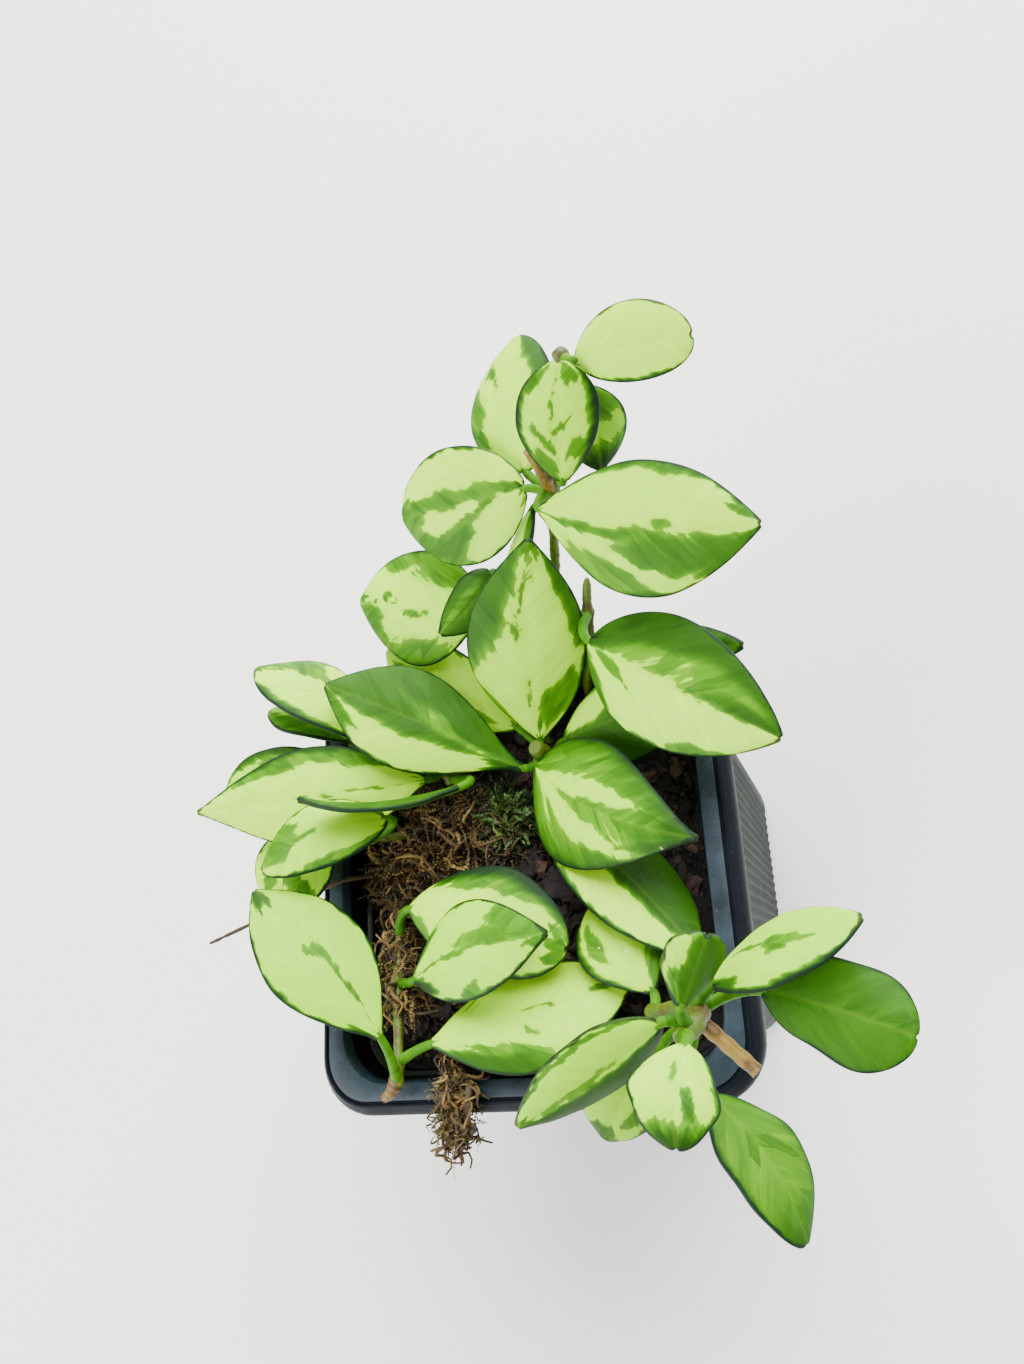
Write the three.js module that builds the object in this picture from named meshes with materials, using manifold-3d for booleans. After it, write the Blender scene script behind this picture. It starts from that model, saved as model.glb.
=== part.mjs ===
// Potted variegated hoya: a square nursery pot of soil and moss with trailing stems and fleshy leaves.
// Lengths are in millimetres, z is up, and the origin is under the middle of the pot.
import * as THREE from 'three';
import { mergeVertices } from 'three/addons/utils/BufferGeometryUtils.js';
import Module from 'manifold-3d';

const wasm = await Module();
wasm.setup();

// Pot
const POT_HEIGHT = 82;
const RIM_HALF = 40;
const RIM_CORNER = 10;
const WALL_TOP_HALF = 35.6;
const WALL_FOOT_HALF = 31;
const WALL_THICK = 1.2;
const FLOOR_THICK = 1.6;
const LEDGE_Z = 74;
const LEDGE_STEP = 0.8;
const FLUTES_PER_SIDE = 17;
const FLUTE_DEPTH = 0.45;
const DRAIN_RADIUS = 3.2;
const DRAIN_OFFSET = 17;

// Clearances where separate pieces touch
const SEAT_GAP = 0.3;
const STALK_GAP = 0.35;

// Soil
const SOIL_Z = 71.5;

// Leaf section
const STALK_RADIUS = 0.75;
const NODE_SWELL = 0.45;
const EDGE_THICK = 0.8;
const MIDRIB_THICK = 1.6;

// Stems: the points each one passes through and its radius
const STEMS = {
  tall: {
    radius: 0.85,
    path: [[4.5, 24, 64], [5.5, 25.5, 75], [9, 31, 82], [12.8, 38, 87.5], [16.7, 47.5, 94], [21, 56.5, 104.5],
      [25.3, 63, 111], [29.5, 71.5, 117], [28.5, 73.5, 118.5]],
  },
  tall_arm: {
    radius: 0.75,
    path: [[13, 39, 88], [10, 42, 89], [6.5, 45, 89.8], [5, 47.5, 91]],
  },
  right: {
    radius: 0.85,
    path: [[14, 30, 64], [14.5, 31, 74], [16.5, 32.3, 81], [19.2, 36.5, 85.5], [21, 42, 91], [22.5, 45, 94.5]],
  },
  middle: {
    radius: 1.1,
    path: [[7, 19, 64], [6.5, 20, 73], [6, 20.5, 77], [5.5, 21, 81]],
  },
  left: {
    radius: 0.9,
    path: [[-11, 15.5, 64], [-12, 16.5, 75], [-14, 20, 80.5], [-18, 24, 84], [-22, 26.5, 86]],
  },
  left_low: {
    radius: 0.8,
    path: [[-21, 9, 64], [-22, 9, 76], [-26, 8.5, 81.5], [-31, 8.5, 84.3]],
  },
  front_left: {
    radius: 0.85,
    path: [[-24, -1, 64], [-24, -2.5, 75], [-23.5, -10, 80], [-22, -21, 84], [-21, -32, 86], [-21.5, -35, 86]],
  },
  front_right: {
    radius: 0.95,
    path: [[20, -25, 64], [21, -25.5, 76], [25, -25.7, 86], [31, -25.5, 95.5], [36, -26.8, 101.5],
      [34, -29.8, 106]],
  },
};

// Leaves: stem, place along it, base, tip, width, roll, arch, bend, cup, fullness at base and tip.
// Roll turns the blade about its midrib from facing up, arch lifts the midrib, bend swings it
// sideways, and cup turns the two edges down. A low fullness figure gives a blunt end.
const LEAVES = {
  leaf_top_right: ['tall', 0.985, [32, 70, 119], [50.5, 66, 122], 11.5, 40, 1.5, -1, 0.15, 0.7, 0.7],
  leaf_top_left: ['tall', 0.73, [17, 61.5, 106], [18.5, 86, 108.5], 17, -10, 1, -2.5, 0.2, 0.6, 0.6],
  leaf_top_front: ['tall', 0.77, [25, 55.5, 110], [30, 68.5, 122], 13, 30, 1, -0.5, 0.1, 0.8, 0.6],
  leaf_top_under: ['tall', 0.93, [31, 69, 113], [28.5, 61.5, 100.5], 10.5, -35, 0.5, -0.5, 0.15, 0.65, 0.75],
  leaf_upper_left: ['tall', 0.7, [17, 58, 106.5], [-9, 62, 101], 20.5, -30, 2, -0.5, 0.1, 0.6, 0.6],
  leaf_upper_right: ['tall', 0.72, [20, 52.5, 108], [54.5, 40.5, 109], 21, 25, 2, 2, 0.15, 1, 0.95],
  leaf_upper_low: ['tall', 0.67, [16.5, 56.5, 102], [8.5, 45, 97], 7.5, 35, 0.5, 0, 0.15, 0.9, 0.75],
  leaf_arm_left: ['tall_arm', 0.85, [1, 46.5, 91], [-24.6, 52.7, 90.5], 21.5, -18, 2, -1, 0.15, 0.75, 0.8],
  leaf_arm_curled: ['tall_arm', 0.97, [5, 50, 95], [-5, 40, 96], 8.5, -30, 1.5, -1, 0.2, 0.6, 0.9],
  leaf_mid_back: ['middle', 0.95, [6, 23, 79], [16, 50, 104], 21, 25, 1.5, -1.5, 0.2, 0.95, 1],
  leaf_mid_hidden: ['middle', 0.8, [1.9, 25.6, 80.5], [-22.3, 44.1, 84.6], 14, -8, 2.3, 0, 0.1, 0.8, 0.7],
  leaf_mid_left: ['middle', 0.8, [2, 18, 79], [-28.5, 34.5, 97], 19, 10, 2, 0, 0.1, 1.4, 1],
  leaf_mid_right: ['middle', 0.86, [5, 18, 79], [35.5, -0.5, 90], 22, 5, 2.5, 2.6, 0.1, 0.75, 1.25],
  leaf_mid_low: ['middle', 0.6, [10, 22.5, 77], [35.5, 24.5, 87], 15.5, 10, 0.5, 0, 0.15, 0.8, 0.8],
  leaf_mid_front: ['middle', 0.5, [5.5, 11, 75.5], [31.5, -17, 83], 17, -38, 1.5, 0, 0.15, 0.8, 0.7],
  leaf_right: ['right', 0.82, [22, 33.5, 94], [51, 12, 95], 21, 20, 2, 0, 0.1, 0.65, 0.85],
  leaf_right_under: ['right', 0.62, [23, 34.5, 88], [46.3, 29.5, 89.5], 7.5, 15, 1, 0, 0.1, 0.8, 0.8],
  leaf_left_top: ['left', 0.98, [-26, 25.5, 88], [-45.5, 41.5, 95], 17, 50, 3, 2, 0.1, 1, 0.8],
  leaf_left_under: ['left', 0.9, [-31, 27, 85], [-45, 34, 91], 10, 55, 1.5, 0, 0.15, 1, 0.6],
  leaf_left_back: ['left', 0.75, [-32, 22, 84.5], [-55.5, 18.3, 90], 15, -15, 1, 0, 0.1, 0.8, 0.55],
  leaf_left_long: ['left', 0.6, [-14.5, 17, 85.5], [-57.5, 15, 96], 18, -15, 1.5, 0, 0.1, 1.05, 1.2],
  leaf_left_edge: ['left', 0.5, [-6.5, 14, 88], [-31.5, 13, 101], 9, 75, -2, 0, 0.15, 0.9, 0.8],
  leaf_left_low: ['left_low', 0.85, [-20.7, 10, 89.5], [-40.4, 1.7, 98.5], 13, 8, 1.2, 2, 0.1, 0.65, 0.7],
  leaf_left_front: ['left_low', 0.97, [-38.5, 9, 85.5], [-48.8, -0.4, 87], 13.5, -10, 1, 0, 0.1, 0.8, 0.7],
  leaf_left_small: ['left_low', 0.9, [-34.3, 6.6, 87.6], [-40.1, -3.3, 90.5], 9.5, 0, 1, 0, 0.1, 0.7, 0.7],
  leaf_front_left: ['front_left', 0.985, [-21.5, -27, 91], [-42.5, -1.5, 98], 18, 35, 2, 0.5, 0.1, 1.05, 0.95],
  leaf_front_under: ['front_left', 0.45, [-19, -5.5, 84], [10.5, -15, 85], 18, 0, 1.5, -1.5, 0.2, 0.7, 0.6],
  leaf_front_mid: ['front_left', 0.62, [-17, -18, 86.5], [10.5, -13, 93], 16, -5, 2, -1.5, 0.15, 0.9, 1.05],
  leaf_front_low: ['front_left', 0.92, [-14, -28.5, 86.5], [19, -21, 80], 18.5, -20, 1, 0.5, 0.2, 0.95, 0.85],
  leaf_corner_back: ['front_right', 0.42, [24, -22.5, 83], [14, -7.5, 79], 14, 15, 1.5, -0.5, 0.15, 0.9, 0.7],
  leaf_corner_fold: ['front_right', 0.94, [35, -25.5, 108], [40.5, -17, 112], 8.5, 45, 0, 0, 0.3, 0.9, 0.5],
  leaf_corner_right: ['front_right', 0.82, [38.5, -23, 103], [59.5, -16, 105], 11.5, -40, 1, -1, 0.2, 0.8, 0.8],
  leaf_corner_green: ['front_right', 0.84, [44.5, -24, 99], [63.5, -31, 101], 13.5, 0, 1, -0.5, 0.1, 0.65, 0.55],
  leaf_corner_left: ['front_right', 0.95, [31.5, -27.5, 107], [9.5, -40, 106], 11, -50, 1, 0.5, 0.2, 0.65, 0.85],
  leaf_corner_near: ['front_right', 0.99, [36.5, -30.5, 113], [35.5, -42, 118], 11, -20, 1.5, 1, 0.15, 0.8, 0.7],
  leaf_corner_under: ['front_right', 0.87, [28, -31.5, 99], [17.5, -43, 92], 11, -25, 1.5, 1, 0.1, 0.9, 0.7],
  leaf_corner_out: ['front_right', 0.92, [36, -37, 104], [46, -55, 101], 12, -50, 2, -1, 0, 0.8, 0.7],
};

const UP = new THREE.Vector3(0, 0, 1);
const BLADE_STATIONS = [0.05, 0.14, 0.28, 0.44, 0.6, 0.75, 0.88, 0.96, 1];
const SECTION = [[-1, 1], [-0.45, 1], [0.45, 1], [1, 1], [1, -1], [0.45, -1], [-0.45, -1], [-1, -1]];

// Side pieces fused to a stem: the dried flower spur, the cut end and the old stub at the tip
const SPURS = [
  { stem: 'tall', radius: 1.1, taper: 0.3, path: [[21.2, 57, 105.5], [21.2, 59, 109], [20.5, 61.5, 112]] },
  { stem: 'front_right', radius: 1.15, taper: 0.1, path: [[34.8, -26.8, 100.5], [39, -31, 100], [42.5, -34.5, 99.5]] },
  { stem: 'front_left', radius: 0.8, taper: 0.4, path: [[-21.3, -34, 86], [-23, -36, 86], [-25, -37, 85.5]] },
];

const MOSS = {
  moss_brown_mat: {
    centre: [-19, 6], spread: [15, 11], top: 80, turn: 0.1, seed: 11, strands: 11, reach: 8, colour: '#8a6a3c',
  },
  moss_green_tuft: {
    centre: [-4.5, 10], spread: [5, 5.5], top: 78, turn: 0, seed: 5, strands: 7, reach: 4, colour: '#4f5f22',
  },
  moss_on_stem: {
    radius: 2.4, colour: '#77602f', path: [[-24, -5, 77], [-23.5, -10, 79.5], [-22.5, -17, 82], [-21.5, -24, 84]],
  },
  moss_over_rim: {
    radius: 2.2, colour: '#7a5a33',
    path: [[-12, -27, 79], [-11.5, -33, 83.5], [-12, -40, 85.3], [-13.5, -44, 81], [-15, -45, 75]],
  },
};

const CHIPS = {
  bark_chip_back: { centre: [-1.5, 1, 72.6], size: [9, 5, 2], turn: 0.8, seed: 3, colour: '#5a2f24' },
  bark_chip_right: { centre: [7, -3, 72.2], size: [10, 5.5, 2.2], turn: 1.9, seed: 8, colour: '#5e3428' },
  grey_chip: { centre: [0.5, 26.5, 72.6], size: [4.5, 3, 1.4], turn: 0.4, seed: 6, colour: '#8c8a86' },
};

const TWIGS = {
  wood_sliver: {
    radius: 0.7, colour: '#a98a5c', path: [[-8.5, -35, 84.2], [-9.5, -39, 84], [-11, -42, 80], [-12, -43, 76]],
  },
  dry_root: {
    radius: 0.45, colour: '#6b4a2c',
    path: [[-30, 2, 79], [-34, 1, 83.2], [-43, -1.5, 83.4], [-52, -4, 82.5], [-63, -8, 84.5]],
  },
};

// A closed skin over rings of points, with each end filled from its middle. Quads in the second half
// of each ring are split the other way, so the two faces of a blade carry the same triangles.
function skin(rings) {
  const count = rings[0].length;
  const points = rings.flat();
  const faces = [];
  for (let i = 0; i + 1 < rings.length; i += 1) {
    for (let k = 0; k < count; k += 1) {
      const a = i * count + k;
      const b = i * count + (k + 1) % count;
      const c = b + count;
      const d = a + count;
      if (k < count / 2) faces.push(a, b, c, a, c, d);
      else faces.push(a, b, d, b, c, d);
    }
  }
  for (const start of [0, (rings.length - 1) * count]) {
    const middle = points.length;
    const ring = points.slice(start, start + count);
    points.push(ring.reduce((sum, p) => sum.add(p), new THREE.Vector3()).divideScalar(count));
    for (let k = 0; k < count; k += 1) {
      const next = (k + 1) % count;
      if (start > 0) faces.push(middle, start + k, start + next);
      else faces.push(middle, start + next, start + k);
    }
  }
  const geometry = new THREE.BufferGeometry();
  const flat = points.flatMap((p) => [p.x, p.y, p.z]);
  geometry.setAttribute('position', new THREE.Float32BufferAttribute(flat, 3));
  geometry.setIndex(faces);
  return geometry;
}

function vec(list) {
  return new THREE.Vector3(...list);
}

// The path of a stem as a smooth curve
function curveOf(path) {
  return new THREE.CatmullRomCurve3(path.map(vec), false, 'centripetal');
}

// A round stem, root or strand swept along a path, with its radius given along the length
function sweep(path, radiusAt, sides, steps) {
  const curve = curveOf(path);
  const rings = [];
  let side = new THREE.Vector3(1, 0.2, 0);
  for (let i = 0; i <= steps; i += 1) {
    const t = i / steps;
    const centre = curve.getPointAt(t);
    const tangent = curve.getTangentAt(t);
    side = side.clone().addScaledVector(tangent, -side.dot(tangent)).normalize();
    const other = tangent.clone().cross(side);
    const ring = [];
    for (let k = 0; k < sides; k += 1) {
      const angle = (2 * Math.PI * k) / sides;
      const r = radiusAt(t);
      ring.push(centre.clone().addScaledVector(side, r * Math.cos(angle))
        .addScaledVector(other, r * Math.sin(angle)));
    }
    rings.push(ring);
  }
  return skin(rings);
}

// Cut and join
function solid(geometry) {
  const bare = geometry.clone();
  bare.deleteAttribute('normal');
  bare.deleteAttribute('uv');
  const merged = mergeVertices(bare, 1e-4);
  return new wasm.Manifold(new wasm.Mesh({
    numProp: 3,
    vertProperties: new Float32Array(merged.attributes.position.array),
    triVerts: new Uint32Array(merged.index.array),
  }));
}

function geometryOf(body) {
  const mesh = body.getMesh();
  const geometry = new THREE.BufferGeometry();
  geometry.setAttribute('position', new THREE.Float32BufferAttribute(mesh.vertProperties, 3));
  geometry.setIndex(Array.from(mesh.triVerts));
  return geometry;
}

// A repeatable stream of draws between 0 and 1
function draws(seed) {
  let state = seed;
  return () => {
    state = (state * 1103515245 + 12345) % 2147483648;
    return state / 2147483648;
  };
}

// A square ring with rounded corners at one height, turning anticlockwise from above
function squareRing(half, corner, z, perCorner) {
  const ring = [];
  for (let side = 0; side < 4; side += 1) {
    const middle = Math.PI / 4 + (side * Math.PI) / 2;
    const cx = (half - corner) * Math.sign(Math.cos(middle));
    const cy = (half - corner) * Math.sign(Math.sin(middle));
    for (let k = 0; k <= perCorner; k += 1) {
      const angle = (side + k / perCorner) * (Math.PI / 2);
      ring.push(new THREE.Vector3(cx + corner * Math.cos(angle), cy + corner * Math.sin(angle), z));
    }
  }
  return ring;
}

// The same ring with upright flutes along the four flat sides
function flutedRing(half, corner, z, perCorner) {
  const plain = squareRing(half, corner, z, perCorner);
  const ring = [];
  for (let side = 0; side < 4; side += 1) {
    const start = side * (perCorner + 1);
    for (let k = 0; k <= perCorner; k += 1) ring.push(plain[start + k]);
    const from = plain[start + perCorner];
    const to = plain[(start + perCorner + 1) % plain.length];
    const along = to.clone().sub(from);
    const inward = new THREE.Vector3(-along.y, along.x, 0).normalize();
    for (let k = 0; k < FLUTES_PER_SIDE; k += 1) {
      const steps = [[0.3, 1], [0.7, 1], [1, 0]];
      for (const [part, deep] of steps) {
        if (k === FLUTES_PER_SIDE - 1 && part === 1) break;
        ring.push(from.clone().addScaledVector(along, (k + part) / FLUTES_PER_SIDE)
          .addScaledVector(inward, deep * FLUTE_DEPTH));
      }
    }
  }
  return ring;
}

function wallHalf(z) {
  return WALL_FOOT_HALF + ((WALL_TOP_HALF - WALL_FOOT_HALF) * z) / POT_HEIGHT;
}

// Half width of the inside at a height: the wall steps in below the stacking ledge
function insideHalf(z) {
  return wallHalf(z) - WALL_THICK - (z < LEDGE_Z ? LEDGE_STEP : 0);
}

function potBody() {
  const outside = solid(skin([
    flutedRing(wallHalf(0) - 0.8, 11, 0, 6),
    flutedRing(wallHalf(1.5), 11.8, 1.5, 6),
    flutedRing(wallHalf(80), 10, 80, 6),
  ]));
  // The rim from the inner edge of its flat top, over a bead, down the lip and back up underneath
  const profile = [[34.5, 79], [34.5, 82], [37.6, 82], [37.8, 81.7], [38.1, 81.9], [38.4, 81.9], [38.8, 81.4],
    [39.6, 80.4], [40, 79.4], [40, 77.4], [39, 77.4], [38.8, 79]];
  const rim = solid(skin([squareRing(38.8, 9, 77.4, 6), squareRing(RIM_HALF, RIM_CORNER, 77.4, 6),
    ...[...profile.slice(2, 9)].reverse().map(([half, z]) => squareRing(half, RIM_CORNER - 40 + half, z, 6)),
  ]));
  const under = solid(skin([squareRing(38.8, 8.8, 76, 6), squareRing(38.8, 8.8, 79.8, 6)]))
    .subtract(solid(skin([squareRing(wallHalf(80) + 0.2, 9, 75, 6), squareRing(wallHalf(80) + 0.2, 9, 81, 6)])));
  const inside = solid(skin([
    squareRing(insideHalf(FLOOR_THICK), 9.5, FLOOR_THICK, 6),
    squareRing(insideHalf(LEDGE_Z - 0.01), 8.5, LEDGE_Z - 0.8, 6),
    squareRing(insideHalf(LEDGE_Z), 8.5, LEDGE_Z, 6),
    squareRing(insideHalf(POT_HEIGHT), 8.5, 84, 6),
  ]));
  let body = outside.add(rim).subtract(under).subtract(inside);
  const drain = new THREE.CylinderGeometry(DRAIN_RADIUS, DRAIN_RADIUS, 8, 20).rotateX(Math.PI / 2);
  for (let corner = 0; corner < 4; corner += 1) {
    const hole = drain.clone().rotateZ(0.11 * corner + 0.05).translate(DRAIN_OFFSET, DRAIN_OFFSET, 0)
      .rotateZ((corner * Math.PI) / 2);
    body = body.subtract(solid(hole));
  }
  return body;
}

// One leaf on its stalk. Grow swells the whole leaf evenly, for cutting clear room round it.
function leafBody(row, grow = 0) {
  const [stemName, place, base, tip, width, roll, arch, bend, cup, fullBase, fullTip] = row;
  const stem = STEMS[stemName];
  const start = curveOf(stem.path).getPointAt(place);
  const foot = vec(base);
  const length = foot.distanceTo(vec(tip));
  const along = vec(tip).sub(foot).normalize();
  const level = along.clone().cross(UP).normalize();
  const up = level.clone().cross(along);
  const angle = THREE.MathUtils.degToRad(roll);
  const normal = up.clone().multiplyScalar(Math.cos(angle)).addScaledVector(level, Math.sin(angle));
  const side = level.clone().multiplyScalar(Math.cos(angle)).addScaledVector(up, -Math.sin(angle));
  const rings = [];

  // The stalk leaves the stem towards the blade and swings into line with the midrib
  const lead = along.clone().multiplyScalar(length).addScaledVector(normal, 4 * arch)
    .addScaledVector(side, 4 * bend).normalize();
  const away = foot.clone().sub(start).normalize();
  const reach = stem.radius + NODE_SWELL + STALK_GAP - grow;
  const root = start.clone().addScaledVector(away, reach);
  const turn = foot.clone().addScaledVector(lead, -0.45 * foot.distanceTo(root));
  const stalk = new THREE.QuadraticBezierCurve3(root, turn, foot);
  for (const t of [0, 0.5, 1]) {
    const tangent = stalk.getTangent(t);
    const across = side.clone().addScaledVector(tangent, -side.dot(tangent)).normalize();
    const over = across.clone().cross(tangent);
    const ring = [];
    for (let k = 0; k < 8; k += 1) {
      const a = THREE.MathUtils.degToRad(157.5 - 45 * k);
      ring.push(stalk.getPoint(t).addScaledVector(across, (STALK_RADIUS + grow) * Math.cos(a))
        .addScaledVector(over, (STALK_RADIUS + grow) * Math.sin(a)));
    }
    rings.push(ring);
  }

  const widest = fullBase / (fullBase + fullTip);
  for (const t of BLADE_STATIONS) {
    const bow = 4 * t * (1 - t);
    const centre = foot.clone().addScaledVector(along, length * t + (t === 1 ? grow : 0))
      .addScaledVector(normal, arch * bow).addScaledVector(side, bend * bow);
    const swell = (t / widest) ** fullBase * ((1 - t) / (1 - widest)) ** fullTip;
    const half = Math.max((width / 2) * swell, 0.4) + grow;
    const thin = t === 1 ? 0.8 : 1;
    const ring = [];
    for (const [v, face] of SECTION) {
      const thick = (EDGE_THICK + (MIDRIB_THICK - EDGE_THICK) * (1 - v * v)) * thin + 2 * grow;
      ring.push(centre.clone().addScaledVector(side, v * half)
        .addScaledVector(normal, (face * thick) / 2 - cup * half * v * v));
    }
    rings.push(ring);
  }
  return solid(skin(rings));
}

// A stem with a swelling where each stalk joins it
function stemBody(name, grow = 0) {
  const { radius, path } = STEMS[name];
  const joints = Object.values(LEAVES).filter((row) => row[0] === name).map((row) => row[1]);
  const length = curveOf(path).getLength();
  const radiusAt = (t) => {
    const far = Math.min(9, ...joints.map((place) => (Math.abs(t - place) * length) / 0.9));
    return radius + NODE_SWELL * Math.exp(-far * far) + grow;
  };
  return solid(sweep(path, radiusAt, 8, Math.round(length / 2.6)));
}

function plantStem(name, grow = 0) {
  let body = stemBody(name, grow);
  for (const spur of SPURS.filter((item) => item.stem === name)) {
    body = body.add(solid(sweep(spur.path, (t) => spur.radius * (1 - spur.taper * t) + grow, 8, 4)));
  }
  if (name === 'tall') body = body.add(stemBody('tall_arm', grow));
  return body;
}

// The plain hole in the soil that the foot of a stem stands in
function socketBody(name) {
  const { radius, path } = STEMS[name];
  const foot = [path[0][0], path[0][1], path[0][2] - SEAT_GAP];
  return solid(sweep([foot, ...path.slice(1, 3)], () => radius + NODE_SWELL + SEAT_GAP, 8, 5));
}

// Height of the soil: low lumps, a little higher towards the left
function soilHeight(x, y) {
  const lumps = Math.sin(x * 0.55 + 1.3) * Math.cos(y * 0.48) + 0.6 * Math.sin(x * 0.21 - y * 0.33);
  return SOIL_Z + 0.55 * lumps - 0.012 * x;
}

function soilBody() {
  const rings = [];
  for (const [z, corner] of [[FLOOR_THICK + SEAT_GAP, 9.5], [LEDGE_Z - 5, 8.6]]) {
    rings.push(squareRing(insideHalf(z) - SEAT_GAP, corner, z, 9));
  }
  for (const part of [0.995, 0.86, 0.7, 0.52, 0.34, 0.16]) {
    const half = (insideHalf(70) - SEAT_GAP) * part;
    const ring = squareRing(half, 8.5 * part, 0, 9);
    for (const p of ring) p.z = soilHeight(p.x, p.y);
    rings.push(ring);
  }
  return solid(skin(rings));
}

// A lumpy mound of moss over the soil, with loose strands rooted in it
function mossMound({ centre, spread, top, turn, seed, strands, reach }, grow = 0) {
  const next = draws(seed);
  const phase = 6 * next();
  const rings = [];
  const levels = [[1, 0], [0.97, 0.35], [0.82, 0.68], [0.58, 0.88], [0.3, 0.97], [0.1, 1]];
  const low = SOIL_Z - 2;
  for (const [wide, high] of levels) {
    const ring = [];
    for (let k = 0; k < 18; k += 1) {
      const angle = (2 * Math.PI * k) / 18;
      const lump = 1 + 0.12 * Math.sin(3 * angle + phase) + 0.08 * Math.sin(5 * angle - phase + high * 4);
      const x = spread[0] * wide * lump * Math.cos(angle);
      const y = spread[1] * wide * lump * Math.sin(angle);
      const z = low + (top - low) * high + (high > 0.3 ? 0.5 * Math.sin(4 * angle + phase * high) : 0);
      ring.push(new THREE.Vector3(x, y, 0).applyAxisAngle(UP, turn).add(new THREE.Vector3(...centre, z)));
    }
    rings.push(ring);
  }
  let body = solid(skin(rings));
  if (grow > 0) return body;
  for (let i = 0; i < strands; i += 1) {
    const angle = 2 * Math.PI * next();
    const out = 0.35 + 0.5 * next();
    const from = new THREE.Vector3(spread[0] * out * Math.cos(angle), spread[1] * out * Math.sin(angle), 0)
      .applyAxisAngle(UP, turn).add(new THREE.Vector3(...centre, low + (top - low) * 0.5));
    const lean = angle + 1.6 * (next() - 0.5);
    const path = [0, 1, 2, 3].map((step) => [
      from.x + Math.cos(lean + 0.5 * step * (next() - 0.5)) * reach * step * 0.33,
      from.y + Math.sin(lean) * reach * step * 0.33,
      from.z + [0, 0.55, 0.8, 0.75][step] * (top - low) * (0.8 + 0.4 * next()),
    ]);
    body = body.add(solid(sweep(path, (t) => 0.75 - 0.35 * t, 5, 4)));
  }
  return body;
}

// Keeps the largest piece, so a strand that a leaf cuts through leaves no loose crumb
function largest(body) {
  return body.decompose().sort((a, b) => b.volume() - a.volume())[0];
}

// A split chip of bark: an uneven six sided slab
function chipBody({ centre, size, turn, seed }, grow = 0) {
  const next = draws(seed);
  const outline = [];
  for (let k = 0; k < 7; k += 1) outline.push(0.75 + 0.5 * next());
  const rings = [-0.5, 0.2, 0.5].map((high, level) => outline.map((far, k) => {
    const angle = (2 * Math.PI * k) / outline.length;
    const part = far * [0.9, 1, 0.8][level];
    const p = new THREE.Vector3((size[0] / 2 * part + grow) * Math.cos(angle),
      (size[1] / 2 * part + grow) * Math.sin(angle), (size[2] + 2 * grow) * high);
    return p.applyEuler(new THREE.Euler(0.2 * (seed % 3), 0.12 * (seed % 5), turn)).add(vec(centre));
  }));
  return solid(skin(rings));
}

// Room taken by the rim and the wall under it, with the seat gap all round
function rimRoom() {
  const block = solid(skin([squareRing(RIM_HALF + SEAT_GAP, RIM_CORNER, 60, 6),
    squareRing(RIM_HALF + SEAT_GAP, RIM_CORNER, POT_HEIGHT + SEAT_GAP, 6)]));
  const well = solid(skin([squareRing(insideHalf(60) - SEAT_GAP, 8.5, 59, 6),
    squareRing(insideHalf(78) - SEAT_GAP, 8.5, 90, 6)]));
  return block.subtract(well);
}

const scene = new THREE.Group();

function put(name, body, colour, roughness) {
  const material = new THREE.MeshStandardMaterial({ color: colour, roughness, metalness: 0 });
  const mesh = new THREE.Mesh(geometryOf(body), material);
  mesh.name = name;
  scene.add(mesh);
}

const stemNames = Object.keys(STEMS).filter((name) => name !== 'tall_arm');
const leafRoom = Object.values(LEAVES).map((row) => leafBody(row, SEAT_GAP));
const stemRoom = stemNames.map((name) => plantStem(name, SEAT_GAP));
const soil = soilBody();
const chips = Object.entries(CHIPS);
const twigs = Object.entries(TWIGS);

put('pot', potBody(), '#2c3a4a', 0.45);

let bed = soil;
for (const name of stemNames) bed = bed.subtract(socketBody(name));
for (const [, chip] of chips) bed = bed.subtract(chipBody(chip, SEAT_GAP));
put('substrate', bed, '#2b1d18', 0.95);

for (const [name, chip] of chips) put(name, chipBody(chip), chip.colour, 0.85);

const overSoil = soil.translate([0, 0, SEAT_GAP]);
const rim = rimRoom();
const twigRoom = twigs.map(([, twig]) => solid(sweep(twig.path, () => twig.radius + SEAT_GAP, 6, 8)));
const chipRoom = chips.map(([, chip]) => chipBody(chip, SEAT_GAP));
const taken = [];
for (const [name, moss] of Object.entries(MOSS)) {
  let body = moss.path
    ? solid(sweep(moss.path, (t) => moss.radius * (1 + 0.2 * Math.sin(17 * t) - 0.25 * t), 9, 10))
    : mossMound(moss);
  const room = body;
  for (const other of [overSoil, rim, ...leafRoom, ...stemRoom, ...twigRoom, ...chipRoom, ...taken]) {
    body = body.subtract(other);
  }
  taken.push(...[[0.3, 0, 0], [-0.3, 0, 0], [0, 0.3, 0], [0, -0.3, 0], [0, 0, 0.3], [0, 0, -0.3]]
    .map((shift) => room.translate(shift)));
  put(name, largest(body), moss.colour, 1);
}

for (const [name, twig] of twigs) {
  put(name, solid(sweep(twig.path, (t) => twig.radius * (1 - 0.4 * t), 6, 8)), twig.colour, 0.9);
}
for (const name of stemNames) put(`stem_${name}`, plantStem(name), '#8a8f3c', 0.6);
for (const [name, row] of Object.entries(LEAVES)) {
  const blade = stemRoom.reduce((body, room) => body.subtract(room), leafBody(row));
  put(name, largest(blade), '#b9d77a', 0.4);
}

export default scene;
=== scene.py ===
import math
import random

import bpy
import numpy as np
from mathutils import Matrix, Vector


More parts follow.
